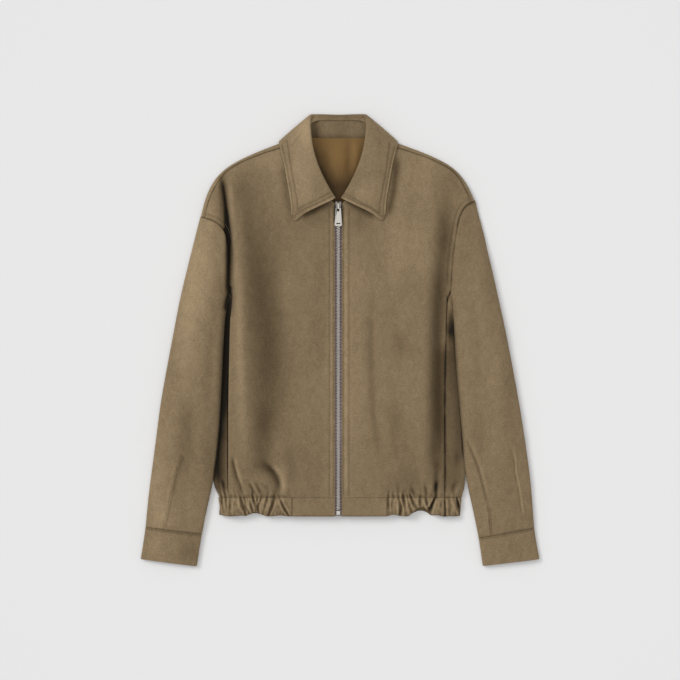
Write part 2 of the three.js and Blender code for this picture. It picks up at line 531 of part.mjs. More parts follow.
// A flattened tube's ring: over the top from the outer to the inner edge, and back underneath
function ring(topSpot, height, wrinkles) {
  const bulge = (v, power) => (1 - Math.abs(2 * v - 1) ** power) ** (1 / power);
  const over = OVER.map((v, k) => {
    const spot = topSpot(v, k);
    const middle = FOLD_MIDDLE * Math.min(1, height(k) / 15);
    const rise = (height(k) - middle) * bulge(v, 2.6) + wrinkles(spot.x, spot.y) * bulge(v, 1.6);
    return spot.setZ(middle + rise);
  });
  const under = OVER.map((v, k) => topSpot(v, k).setZ(FOLD_MIDDLE * 0.8 * (1 - bulge(v, 7)))).slice(1, -1);
  return [...over, ...under.reverse()];
}

function sleeve(name) {
  const { sleeveFrom: from, sleeveTo: to, sign } = SIDE_CURVES[name];
  const edgeSpot = (edge, y) => pin([sleeveEdge[`${name}${edge}`](y), y]);
  const start = new Route(armholeLine[name]);
  const chord = (v) => edgeSpot('Outer', from.outer).lerp(edgeSpot('Inner', from.inner), v);
  const bow = OVER.map((v, k) => start.spots[k].clone()
    .addScaledVector(start.square(start.knots[k], -sign), -SEAM_GAP * 2).sub(chord(v)));
  const lag = (t) => (to.outer - to.inner) + (from.outer - from.inner - to.outer + to.inner) * (1 - t) ** 4;
  const rows = fractions(STEPS.sleeveDown).map((share) => {
    const t = share ** 1.15;
    const innerY = lerp(from.inner, to.inner + SEAM_GAP, t);
    const fade = (1 - clamp(t / 0.4, 0, 1)) ** 2;
    const topSpot = (v, k) => edgeSpot('Outer', innerY + lag(t)).lerp(edgeSpot('Inner', innerY), v)
      .addScaledVector(bow[k], fade);
    const nearBody = 1 - smoothstep(t, 0, 0.16);
    const height = (k) => lerp(sleeveHeight(t), Math.max(bodyTop(start.spots[k].x, start.spots[k].y), 11), nearBody);
    return ring(topSpot, height, (x, y) => (1 - nearBody) * foldRise(SLEEVE_FOLDS, x, y));
  });
  return clothWall(rows, SUEDE_WALL, { tube: true, flip: sign });
}

function cuff(name) {
  const { sleeveTo: from, cuffTo: to, sign } = SIDE_CURVES[name];
  const rows = fractions(3).map((t) => {
    const outerY = lerp(from.outer - SEAM_GAP, to.outer, t);
    const innerY = lerp(from.inner - SEAM_GAP, to.inner, t);
    const topSpot = (v) => new THREE.Vector3(sleeveEdge[`${name}Outer`](outerY), outerY, 0)
      .lerp(new THREE.Vector3(sleeveEdge[`${name}Inner`](innerY), innerY, 0), v);
    return ring(topSpot, () => CUFF_HEIGHT, () => 0);
  });
  return clothWall(rows, SUEDE_WALL, { tube: true, flip: sign });
}

// Hem: a plain tab each side of the zip and an elastic band from tab to tab round the back
function hemTab(name) {
  const { sign } = SIDE_CURVES[name];
  const rows = fractions(3).map((v) => fractions(8).map((u) => onto(bodyTop)(new THREE.Vector3(
    sign * lerp(FRONT_EDGE, TAB_END[name] - SEAM_GAP, u), lerp(0, HEM_SEAM - SEAM_GAP, v), 0))));
  return clothWall(rows, SUEDE_WALL, { flip: sign });
}

function hemBand() {
  const topOf = (name, share, v) => {
    const { sign } = SIDE_CURVES[name];
    const y0 = lerp(0, HEM_SEAM - SEAM_GAP, v);
    const x = lerp(sign * TAB_END[name], side[`${name}Fold`](y0), share);
    const y = lerp(hemLift(x) * (1 - share ** 8), HEM_SEAM - SEAM_GAP, v);
    const edge = turn(Math.abs(side[`${name}Fold`](y0) - x));
    return new THREE.Vector3(x, y, bodyTop(x, y) + gatherRise(x, y) * edge);
  };
  const lowOf = (name, v) => {
    const y = lerp(0, HEM_SEAM - SEAM_GAP, v);
    const { sign } = SIDE_CURVES[name];
    const fold = side[`${name}Fold`](y);
    return [new THREE.Vector3(fold - sign * EDGE_TURN * 0.28, y, FOLD_MIDDLE * 0.3), new THREE.Vector3(fold - sign * EDGE_TURN, y, 0)];
  };
  const rows = fractions(3).map((v) => {
    const [rightLow, leftLow] = [lowOf('right', v), lowOf('left', v)];
    return [
      ...fractions(STEPS.bandSide).map((share) => topOf('right', share ** 0.85, v)),
      ...rightLow,
      ...fractions(7).slice(1, -1).map((share) => rightLow[1].clone().lerp(leftLow[1], share)),
      ...leftLow.reverse(),
      ...fractions(STEPS.bandSide).reverse().map((share) => topOf('left', share ** 0.85, v)),
    ];
  });
  return clothWall(rows, SUEDE_WALL, { flip: -1 });
}

// Sewn leaf of the collar: from its seam on the stand, over the roll, to its free edge
function stations(rows, mirror) {
  return rows.map((row) => Object.fromEntries(Object.entries(row)
    .map(([key, value]) => [key, key.endsWith('X') ? value * mirror : value])));
}

function collarLine(table, prefix) {
  const whole = [...stations(table, -1), ...stations(table, 1).reverse().slice(1)];
  const spots = whole.map((row) => new THREE.Vector3(row[`${prefix}X`], row[`${prefix}Y`], row[`${prefix}Z`]));
  spots.filter((spot) => prefix === 'edge' && spot.z > 15)
    .forEach((spot) => spot.setZ(Math.max(spot.z, bodyTop(spot.x, spot.y) + COLLAR_WALL + 0.8)));
  return new THREE.CatmullRomCurve3(spots, false, 'centripetal');
}

function collarLeaf() {
  const [seam, roll, edge] = [collarLine(STAND, 'seam'), collarLine(COLLAR, 'roll'), collarLine(COLLAR, 'edge')];
  const arch = collarLine(COLLAR.map((row) => ({ archX: row.rollX, archY: row.arch, archZ: row.rollY })), 'arch');
  const rows = fractions(STEPS.collarAlong).map((u) => {
    const [s, r, e] = [seam.getPoint(u), roll.getPoint(u), edge.getPoint(u)];
    const along = roll.getTangent(u);
    const toEdge = e.clone().sub(r);
    const face = along.clone().cross(toEdge).normalize();
    const across = face.clone().cross(along).normalize();
    if (across.dot(toEdge) < 0) across.negate();
    const centre = r.clone().addScaledVector(across, ROLL_RADIUS);
    const around = (angle) => centre.clone().addScaledVector(across, -ROLL_RADIUS * Math.cos(angle))
      .addScaledVector(face, ROLL_RADIUS * Math.sin(angle));
    const start = around(Math.PI / 2);
    return [
      s.lerp(around(-Math.PI / 2), SEAM_GAP / s.distanceTo(r)),
      ...[-Math.PI / 2, -Math.PI / 4, 0, Math.PI / 4].map(around),
      ...fractions(STEPS.collarAcross).map((share) => start.clone().lerp(e, share)
        .addScaledVector(face, arch.getPoint(u).y * Math.sin(Math.PI * share))),
    ];
  });
  rows.flat().forEach((spot) => spot.setZ(Math.max(spot.z, 0)));
  return clothWall(rows, COLLAR_WALL, { flip: -1 });
}

function collarStand() {
  const [seam, neck] = [collarLine(STAND, 'seam'), collarLine(STAND, 'neck')];
  const rows = fractions(STEPS.collarAlong).map((u) => {
    const [s, n] = [seam.getPoint(u), neck.getPoint(u)];
    s.lerp(n, (0.3 + 4.8 * smoothstep(Math.abs(s.x), 20, 44)) / s.distanceTo(n));
    return fractions(3).map((share) => s.clone().lerp(n, share));
  });
  return clothWall(rows, SUEDE_WALL, { flip: 1 });
}

// Lining of the back, as far as it shows in the neck
function backLining() {
  const rows = fractions(9).map((v) => fractions(10).map((u) => {
    const y = lerp(LINING.bottom, LINING.top, v);
    const half = lerp(LINING.bottomHalf, LINING.topHalf, Math.sqrt(v));
    const x = lerp(-half, half, u);
    return new THREE.Vector3(x, y, LINING_TOP);
  }));
  return clothWall(rows, LINING_WALL, { flip: 1 });
}

// Zip
const zipLevel = (y, x = 0) => bodyTop(x, y) - TAPE.below;

function strip(halfLow, halfHigh, from, to, base, height, steps) {
  const rows = fractions(steps).map((v) => fractions(1).map((u) => {
    const y = lerp(from, to, v);
    return new THREE.Vector3(lerp(halfLow, halfHigh, u), y, base(y) + height);
  }));
  return clothWall(rows, height, { flip: 1 });
}

async function solids() {
  const wasm = await Module();
  wasm.setup();
  const solid = (geometry) => {
    const bare = geometry.clone();
    ['normal', 'uv'].forEach((name) => bare.deleteAttribute(name));
    const merged = mergeVertices(bare, 1e-4);
    return new wasm.Manifold(new wasm.Mesh({
      numProp: 3,
      vertProperties: new Float32Array(merged.attributes.position.array),
      triVerts: new Uint32Array(merged.index.array),
    }));
  };
  const shape = (manifold) => {
    const mesh = manifold.getMesh();
    return outward([...mesh.vertProperties], [...mesh.triVerts]);
  };
  return { solid, shape };
}

function plate(points, height, bevel = 0) {
  const outline = new THREE.Shape(points.map(([x, y]) => new THREE.Vector2(x, y)));
  return new THREE.ExtrudeGeometry(outline, {
    depth: height - 2 * bevel, bevelEnabled: bevel > 0, bevelSize: bevel, bevelThickness: bevel, bevelOffset: -bevel,
    bevelSegments: 1, curveSegments: 4,
  }).translate(0, 0, bevel);
}

const { solid, shape } = await solids();

function sliderBody() {
  const z = zipLevel((SLIDER.bottom + SLIDER.top) / 2) + SEAM_GAP;
  const middle = lerp(SLIDER.bottom, SLIDER.top, 0.45);
  const outline = [[-SLIDER.waist, SLIDER.bottom], [SLIDER.waist, SLIDER.bottom], [SLIDER.waist + 0.5, middle],
    [SLIDER.shoulder, SLIDER.top - 3], [SLIDER.shoulder - 1, SLIDER.top], [1.2, SLIDER.top], [0, SLIDER.top - 2.2],
    [-1.2, SLIDER.top], [1 - SLIDER.shoulder, SLIDER.top], [-SLIDER.shoulder, SLIDER.top - 3],
    [-SLIDER.waist - 0.5, middle]];
  const body = plate(outline, SLIDER.height, 0.6).translate(0, 0, z);
  const [low, high] = [CROWN.clear, CROWN.clear + CROWN.bar];
  const arch = [[CROWN.from, -0.5], [CROWN.from + CROWN.post, -0.5], [CROWN.from + CROWN.post, low],
    [CROWN.to - CROWN.post, low], [CROWN.to - CROWN.post, -0.5], [CROWN.to, -0.5], [CROWN.to, low],
    [CROWN.to - 1, high], [CROWN.from + 1, high], [CROWN.from, low]];
  const crown = plate(arch, CROWN.width).translate(0, 0, -CROWN.width / 2).rotateX(Math.PI / 2).rotateZ(Math.PI / 2)
    .translate(0, 0, z + SLIDER.height);
  return shape(solid(body).add(solid(crown)));
}

function pullTab() {
  const z = zipLevel((SLIDER.bottom + SLIDER.top) / 2) + SEAM_GAP + SLIDER.height + SEAM_GAP + PULL.pin;
  const { pivotY, end, top, bottom, window, reach } = PULL;
  const outline = new THREE.Shape([[-top, pivotY], [-bottom, end + 2], [-bottom + 2, end], [bottom - 2, end],
    [bottom, end + 2], [top, pivotY]].map(([x, y]) => new THREE.Vector2(x, y)));
  const hole = (halfX, y0, y1) => new THREE.Path([[-halfX, y0], [-halfX, y1], [halfX, y1], [halfX, y0]]
    .map(([x, y]) => new THREE.Vector2(x, y)));
  outline.holes.push(hole(window, pivotY - reach, pivotY - 0.6));
  const slotY = end + PULL_SLOT.up;
  outline.holes.push(hole(PULL_SLOT.width / 2, slotY, slotY + PULL_SLOT.height));
  const blade = new THREE.ExtrudeGeometry(outline, { depth: PULL.thick, bevelEnabled: false })
    .translate(0, 0, z - PULL.thick / 2);
  const pin = new THREE.CylinderGeometry(PULL.pin, PULL.pin, top * 2, 12).rotateZ(Math.PI / 2).translate(0, pivotY, z);
  return shape(solid(blade).add(solid(pin)));
}

['right', 'left'].forEach((name) => {
  const { sign } = SIDE_CURVES[name];
  addMesh(`front_${name}`, frontPanel(name), COLOURS.suede);
  addMesh(`sleeve_${name}`, sleeve(name), COLOURS.suede);
  addMesh(`cuff_${name}`, cuff(name), COLOURS.suede);
  addMesh(`hem_tab_${name}`, hemTab(name), COLOURS.suede);
  const [inner, outer] = [sign * TAPE.inner, sign * TAPE.outer];
  addMesh(`zip_tape_${name}`, strip(Math.min(inner, outer), Math.max(inner, outer), TAPE.from, TAPE.to,
    (y) => zipLevel(y, sign * FRONT_EDGE) - TAPE_WALL, TAPE_WALL, 16), COLOURS.tape);
});
addMesh('back', backPanel(), COLOURS.suede);
addMesh('hem_band', hemBand(), COLOURS.suede);
addMesh('collar_leaf', collarLeaf(), COLOURS.suede);
addMesh('collar_stand', collarStand(), COLOURS.suedeInside);
addMesh('lining_back', backLining(), COLOURS.lining, 0.5);
addMesh('zip_chain', strip(-CHAIN.width / 2, CHAIN.width / 2, CHAIN.from, CHAIN.to,
  (y) => zipLevel(y) + SEAM_GAP, CHAIN.height, 16), COLOURS.teeth, 0.35, 0.9);
addMesh('zip_box', plate([[-BOX.width / 2, BOX.bottom], [BOX.width / 2, BOX.bottom],
  [BOX.width / 2, BOX.bottom + BOX.length], [-BOX.width / 2, BOX.bottom + BOX.length]], BOX.height, 0.5)
  .translate(0, 0, zipLevel(BOX.bottom + BOX.length) + SEAM_GAP), COLOURS.metal, 0.3, 0.9);
addMesh('zip_slider', sliderBody(), COLOURS.metal, 0.25, 0.95);
addMesh('zip_pull_tab', pullTab(), COLOURS.metal, 0.25, 0.95);

// The origin is the bottom centre of the whole jacket
const box = new THREE.Box3().setFromObject(group);
const centre = box.getCenter(new THREE.Vector3());
group.position.set(-centre.x, -centre.y, -box.min.z);

export default group;
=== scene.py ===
"""A suede blouson laid flat: its cut pieces with their folds, seams and stitches, and its zip."""
import math

import bmesh
import bpy
import numpy as np
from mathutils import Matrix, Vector
from mathutils.bvhtree import BVHTree


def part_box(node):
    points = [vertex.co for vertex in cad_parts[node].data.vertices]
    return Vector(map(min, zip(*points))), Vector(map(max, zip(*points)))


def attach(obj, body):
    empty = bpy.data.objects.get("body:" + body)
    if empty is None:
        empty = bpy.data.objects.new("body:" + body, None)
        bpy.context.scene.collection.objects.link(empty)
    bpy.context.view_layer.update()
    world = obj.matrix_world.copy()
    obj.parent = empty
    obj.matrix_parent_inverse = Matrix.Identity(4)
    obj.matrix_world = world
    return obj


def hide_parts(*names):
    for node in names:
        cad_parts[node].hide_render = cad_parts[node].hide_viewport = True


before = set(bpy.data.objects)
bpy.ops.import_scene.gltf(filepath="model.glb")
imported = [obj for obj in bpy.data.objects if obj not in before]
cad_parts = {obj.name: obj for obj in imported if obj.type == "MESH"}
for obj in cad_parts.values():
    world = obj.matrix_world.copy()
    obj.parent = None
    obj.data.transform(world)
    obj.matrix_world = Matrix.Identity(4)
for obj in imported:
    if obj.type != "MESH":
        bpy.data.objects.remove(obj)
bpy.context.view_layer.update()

bl_info = {
    "name": "Suede jacket",
    "version": (1, 0, 0),
    "blender": (4, 5, 0),
    "location": "3D View > Sidebar > Jacket",
    "description": "Makes a suede zip jacket, laid flat, around its packed model",
    "category": "Add Mesh",
}

MM = 0.001
# The tables below are in millimetres: x from the zip's middle, y up from the hem, z off the table.
ZIP_MIDDLE_X, HEM_Y = -2.9007, -307.7112
# the height of the layer of cloth that lies on the table
UNDER = 2.3
# the collar's upper leaf: the height that it is all above, and the round of its tips
LEAF_FLOOR, LEAF_TIP = 15, 8.0
# corners of a solid closer than this are one
MERGE = 0.02
# a fold's lip is this many half widths away; how far a seam's ledge takes to run out
LIP_AWAY, LEDGE_RUNS_OUT = 1.7, 9
# the puckers along a seam
PUCKER_PITCH, PUCKER_DEPTH, PUCKER_AWAY = 8.6, 0.16, 5
# the dimple that a row of stitches pulls, and how much of a seam's darkness it has
STITCH_DIP, STITCH_HALF, STITCH_SHADE = 0.85, 1.5, 0.55
# the hem band, the pieces that its gathers reach, and the pieces that stay flatter
BAND_HEIGHT = 33
GATHERED = ("hem_band", "front_right", "front_left", "back")
HELD_FLAT = ("lining_back", "collar_stand", "hem_band")

# ---------------------------------------------------------------- the cut pieces
# levels: subdivision; bottom, top: heights between which a fold's depth comes in
CUT_PIECES = {
    "fronts": [
        # piece, node, levels, bottom, top, flat width, flat length, share of that, lies on
        ("suede_front_right", "front_right", 3, -9, -8, 0.200, 0.640, 0.885, "suede_back"),
        ("suede_front_left", "front_left", 3, -9, -8, 0.200, 0.640, 0.875, "suede_back"),
    ],
    "sleeves": [
        ("suede_sleeve_right", "sleeve_right", 3, 6, 11, 0.230, 0.560, 0.834, ""),
        ("suede_sleeve_left", "sleeve_left", 3, 6, 11, 0.230, 0.590, 0.814, ""),
    ],
    "cuffs": [
        ("suede_cuff_right", "cuff_right", 3, 3, 6, 0.216, 0.058, 0.950, ""),
        ("suede_cuff_left", "cuff_left", 3, 3, 6, 0.200, 0.058, 0.943, ""),
    ],
    "back": [
        ("suede_back", "back", 2, 5, 9, 0.480, 0.690, 0.834, ""),
    ],
    "hem": [
        ("suede_hem_band", "hem_band", 3, 2.2, 4.5, 0.740, 0.034, 0.950, ""),
        ("suede_hem_tab_right", "hem_tab_right", 3, -9, -8, 0.080, 0.034, 0.967, "suede_hem_band"),
        ("suede_hem_tab_left", "hem_tab_left", 3, -9, -8, 0.084, 0.034, 0.973, "suede_hem_band"),
    ],
    "collar": [
        ("suede_collar_leaf", "collar_leaf", 3, 8, 18, 0.430, 0.110, 0.781, "suede_front_left"),
        ("suede_collar_stand", "collar_stand", 2, -9, -8, 0.240, 0.034, 0.881, "suede_collar_leaf"),
    ],
}

# ---------------------------------------------------------------- folds of the cloth
# depth is negative for a trough; half is its half width; fade is the share of its length
# in which each end runs out; lip is a ridge beside it, on the left of its path if positive
FOLDS = [
    # pieces, depth, half, fade, lip, path
    ("front_right", 2.2, 10, 0.2, 0,
     [(-166, 600), (-170, 470), (-168, 300), (-160, 140), (-150, 60)]),
    ("front_right", -1.2, 30, 0.2, 0,
     [(-152, 610), (-140, 480), (-128, 378), (-126, 240), (-128, 120)]),
    ("front_right", 1.3, 26, 0.3, 0, [(-62, 560), (-58, 400), (-58, 240), (-60, 60)]),
    ("front_right", -0.8, 14, 0.3, 0, [(-34, 500), (-30, 380), (-32, 240)]),
    ("front_left", 1.2, 22, 0.3, 0, [(38, 500), (36, 360), (38, 200), (36, 70)]),
    ("front_left", -0.9, 9, 0.3, 0, [(57, 420), (55, 300), (60, 160), (84, 50)]),
    ("front_left", 1.3, 18, 0.3, 0, [(96, 610), (99, 540), (103, 470), (110, 380)]),
    ("front_left", -1.0, 16, 0.5, 0, [(100, 330), (108, 299), (106, 262)]),
    ("front_left", -0.9, 15, 0.5, 0, [(96, 205), (99, 168), (108, 130)]),
    ("front_left", 1.1, 17, 0.3, 0, [(138, 420), (140, 280), (138, 130)]),
    ("front_left", -1.8, 13, 0.25, 0, [(176, 606), (182, 560), (184, 500), (182, 440)]),
    ("front_left", -1.7, 15, 0.2, 0, [(182, 470), (178, 380), (176, 240), (172, 120), (170, 36)]),
    # the puff above the hem band, on the right front
    ("front_right hem_band", -3.0, 5.0, 0.3, 0.35,
     [(-134, 95), (-120, 84), (-109, 70), (-104, 58), (-106, 45), (-110, 33), (-115, 21),
      (-123, 10)]),
    ("front_right", 2.5, 9, 0.3, 0, [(-92, 96), (-91, 62), (-92, 34)]),
    ("front_right", 2.6, 11, 0.4, 0, [(-150, 84), (-134, 66), (-124, 46)]),
    ("front_right", -2.6, 3.6, 0.2, 0.5, [(-186, 104), (-178, 66), (-171, 44), (-167, 33)]),
    ("front_right", -1.8, 3.0, 0.35, 0.4, [(-158, 62), (-150, 48), (-144, 34)]),
    ("front_right", -1.7, 2.8, 0.35, 0.4, [(-146, 64), (-138, 50), (-133, 34)]),
    ("front_right", -1.4, 2.8, 0.35, 0.4, [(-126, 58), (-122, 48), (-121, 34)]),
    ("front_left", -1.6, 3.0, 0.35, 0.4, [(104, 60), (105, 46), (106, 34)]),
    ("front_left", -1.9, 3.0, 0.35, 0.4, [(125, 58), (129, 46), (134, 34)]),
    ("front_left", -1.8, 2.8, 0.35, 0.4, [(152, 62), (152, 46), (154, 34)]),
    ("front_left", -2.0, 3.6, 0.25, 0.5, [(171, 84), (171, 56), (167, 34)]),
    ("back", -1.5, 3.4, 0.3, 0.5, [(206, 60), (200, 48), (196, 34)]),
    ("back", -1.2, 3.0, 0.3, 0.4, [(214, 56), (208, 42), (208, 34)]),
    # the sleeves
    ("sleeve_right", -1.2, 13, 0.3, 0, [(-262, 220), (-264, 140), (-268, 60)]),
    ("sleeve_right", 1.2, 17, 0.3, 0, [(-246, 440), (-258, 330), (-276, 200), (-300, 60)]),
    ("sleeve_right", -0.9, 9, 0.35, 0, [(-212, 400), (-222, 300), (-232, 180)]),
    ("sleeve_right", -0.7, 6, 0.45, 0.4, [(-286, 250), (-268, 240), (-250, 244)]),
    ("sleeve_right", -0.6, 6, 0.45, 0.4, [(-292, 176), (-276, 168), (-256, 174)]),
    ("sleeve_right", -0.5, 5, 0.45, 0.4, [(-300, 30), (-288, 24), (-268, 30)]),
    ("sleeve_left", 1.9, 2.4, 0.25, 0,
     [(303.6, 129.5), (305.5, 112), (310, 96), (309.6, 80), (314, 60), (319, 34), (321.5, 10),
      (328, -14)]),
    ("sleeve_left", -0.8, 2.4, 0.15, 0.5, [(221, 137), (241, 94), (252, 54), (259, 24), (261, 14)]),
    ("sleeve_left", 1.0, 18, 0.3, 0, [(254, 440), (262, 320), (270, 200), (280, 70)]),
    ("sleeve_left", -0.9, 10, 0.35, 0, [(234, 400), (240, 300), (250, 200)]),
    ("sleeve_left", -0.6, 6, 0.45, 0.4, [(232, 214), (252, 206), (276, 212)]),
    ("cuff_right", -0.7, 8, 0.4, 0, [(-300, -24), (-304, -50), (-306, -80)]),
    ("cuff_left", -0.7, 8, 0.4, 0, [(304, -28), (308, -52), (312, -80)]),
    # the collar
    ("collar_leaf", -0.7, 9, 0.4, 0, [(-52, 655), (-58, 632), (-64, 600)]),
    ("collar_leaf", 0.6, 12, 0.4, 0, [(58, 600), (54, 570), (48, 556)]),
    ("collar_leaf", -0.6, 10, 0.4, 0, [(66, 650), (72, 625), (70, 600)]),
    ("lining_back", -1.2, 6, 0.3, 0, [(17, 656), (20, 625), (14, 590)]),
    ("lining_back", 1.4, 8, 0.3, 0, [(30, 658), (33, 630), (26, 596)]),
    ("lining_back", 1.0, 12, 0.3, 0, [(-2, 650), (0, 615), (4, 570)]),
    ("lining_back", -1.0, 10, 0.3, 0, [(-24, 650), (-20, 610), (-10, 570)]),
]

# where the cloth is sunk between its neighbours; share is how much of its height it loses
SUNK = [
    # pieces, share, half, fade, path
    ("front_right back", 0.84, 6.8, 0.10,
     [(-206, 608), (-203, 596), (-197, 553), (-193, 505), (-190, 462), (-188, 430)]),
    ("front_right", 0.80, 6.5, 0.12, [(-191, 520), (-188.5, 450), (-188.5, 400), (-191, 343)]),
    ("sleeve_right", 0.45, 4.5, 0.15,
     [(-197, 505), (-193, 460), (-192, 400), (-194.3, 343), (-197, 290)]),
    ("back", 0.88, 15, 0.06, [(-196, 396), (-198, 300), (-200, 200), (-206, 120), (-206, 44)]),
    ("back", 0.22, 15, 0.15, [(206, 330), (207, 200), (210, 120), (210, 40)]),
    ("front_left", 0.22, 11, 0.15, [(185, 480), (180, 380), (177, 240), (173, 120), (172, 46)]),
    ("sleeve_right", 0.12, 9, 0.3, [(-212, 380), (-218, 280), (-226, 160)]),
]

# how far the turned-in sides reach out under the sleeves
SIDE_REACH = [
    # y, right, left
    (36, 0, 0), (56, -3.8, 0.6), (80, -6.0, 2.6), (133, -6.8, 5.0), (203, -7.6, 5.6),
    (290, -6.8, 5.6), (343, -6.2, 5.4), (383, -5.4, 4.6), (402, 0, 0),
]

# small shifts that close the cloth up where its pieces meet
CLOSED = [
    # pieces, half, x shift, y shift, path
    ("front_right", 4, -2.6, 0.0, [(-198, 500), (-192.5, 468), (-191, 430), (-190.5, 396)]),
    ("front_left", 4, 1.4, 0.0,
     [(205.5, 500), (203, 483), (198.6, 448), (196.6, 420), (196.2, 400)]),
    ("front_right hem_tab_right", 5, 0.7, 0.0, [(-4.6, -4), (-4.6, 496)]),
    ("front_left hem_tab_left", 5, -0.7, 0.0, [(4.6, -4), (4.6, 496)]),
    ("sleeve_right", 10, 2.6, 0.0, [(-190.7, 388), (-190.7, 389)]),
    ("back", 10, -2.6, 1.6, [(-190.7, 388), (-190.7, 389)]),
    ("sleeve_left", 10, -2.6, 0.0, [(193.4, 387), (193.4, 388)]),
    ("back", 10, 2.6, 1.6, [(193.4, 387), (193.4, 388)]),
    ("sleeve_right", 11, -0.4, 1.6, [(-239, 521), (-238, 521)]),
    ("back front_right", 11, -0.8, -1.2, [(-237, 523), (-236, 523)]),
    ("sleeve_left", 11, 0.4, 1.6, [(237, 549), (238, 549)]),
    ("back front_left", 11, 0.8, -1.2, [(235, 551), (236, 551)]),
]

# lighter or darker patches: some are the lie of the nap, as it was brushed and worn; many are
# painted shade and painted highlight, such as shadows under the collar's leaves and low in the
# neck, and the lit top of the right sleeve
PATCHES = [
    # pieces, x, y, across, along, tone
    # painted highlight: the lit upper part of the right sleeve
    ("sleeve_right", -232, 440, 24, 90, 0.34),
    ("sleeve_right", -268, 330, 22, 120, 0.16),
    ("sleeve_right", -268, 150, 18, 90, -0.11),
    ("sleeve_right", -318, 60, 22, 90, 0.22),
    ("sleeve_right", -204, 250, 8, 120, -0.20),
    ("cuff_right", -318, -50, 22, 30, 0.16), ("cuff_right", -266, -60, 18, 30, -0.08),
    ("front_right", -169, 330, 9, 210, 0.06),
    ("front_right", -110, 380, 90, 300, -0.10), ("front_right", -170, 560, 24, 40, -0.08),
    ("front_right", -56, 370, 22, 150, -0.03), ("front_right", -88, 395, 12, 50, 0.10),
    ("front_right", -60, 140, 26, 90, -0.04), ("front_right", -14, 240, 9, 230, 0.14),
    ("front_right", -112, 622, 44, 26, 0.22), ("front_right", -100, 560, 22, 44, 0.12),
    ("back front_left", 196, 590, 16, 22, -0.12),
    ("front_left", 15, 260, 9, 230, 0.12), ("front_left", 140, 465, 30, 45, 0.15),
    ("front_left", 133, 300, 13, 90, -0.12), ("front_left", 115, 105, 24, 60, -0.12),
    ("front_left", 125, 52, 50, 22, -0.10),
    ("sleeve_right back front_right", -224, 530, 12, 26, 0.22),
    ("sleeve_right", -256, 400, 16, 110, 0.16),
    ("sleeve_right", -214, 420, 12, 60, -0.12), ("sleeve_right", -224, 110, 16, 70, -0.14),
    ("sleeve_left", 262, 380, 12, 130, -0.08), ("sleeve_left", 246, 140, 12, 60, -0.10),
    ("sleeve_right", -312, -2, 20, 24, 0.12), ("cuff_right", -254, -56, 14, 20, -0.10),
    # painted shadows under the collar's leaves
    ("front_right", -34, 530, 22, 22, -0.16),
    ("front_left", 38, 520, 22, 22, -0.16),
    ("front_left", 100, 470, 20, 50, 0.08),
    ("front_left", 146, 592, 36, 46, 0.15),
    ("front_left", 108, 299, 13, 30, -0.10), ("front_left", 98, 160, 12, 55, -0.09),
    ("sleeve_left", 300, 250, 14, 260, -0.08),
    ("collar_leaf", -62, 600, 24, 50, 0.22), ("collar_leaf", -56, 676, 22, 36, 0.34),
    ("collar_leaf", -54, 556, 24, 14, 0.12), ("collar_leaf", 44, 562, 24, 18, 0.18),
    ("collar_leaf", 60, 610, 24, 60, 0.06),
    ("collar_leaf", 0, 698, 60, 6, -0.20),
    ("collar_stand", 0, 676, 90, 40, -0.17), ("collar_stand", -20, 678, 20, 12, 0.12),
    ("collar_stand", 26, 672, 12, 16, 0.10),
    ("collar_stand", -40, 672, 8, 30, -0.30), ("collar_stand", 0, 662, 60, 5, -0.20),
    # painted shadow low in the neck, under the fronts
    ("lining_back", 2, 540, 48, 52, -1.6),
    ("lining_back", -28, 610, 14, 60, -0.36),
    ("lining_back", 17, 622, 5, 44, -0.20), ("lining_back", 27, 640, 6, 22, 0.22),
    ("lining_back", -4, 640, 12, 34, 0.16),
    ("hem_band", 0, 4, 400, 5, -0.10),
]

# painted shade on the metal: how dark it is down in its recesses, by height, and the pull tab's
# painted shadow on the chain
RECESS_LOW, RECESS_HIGH, RECESS_DARK = 22.4, 26.4, 0.66
SHADED_CHAIN = (506.4, 560.0, 0.88)
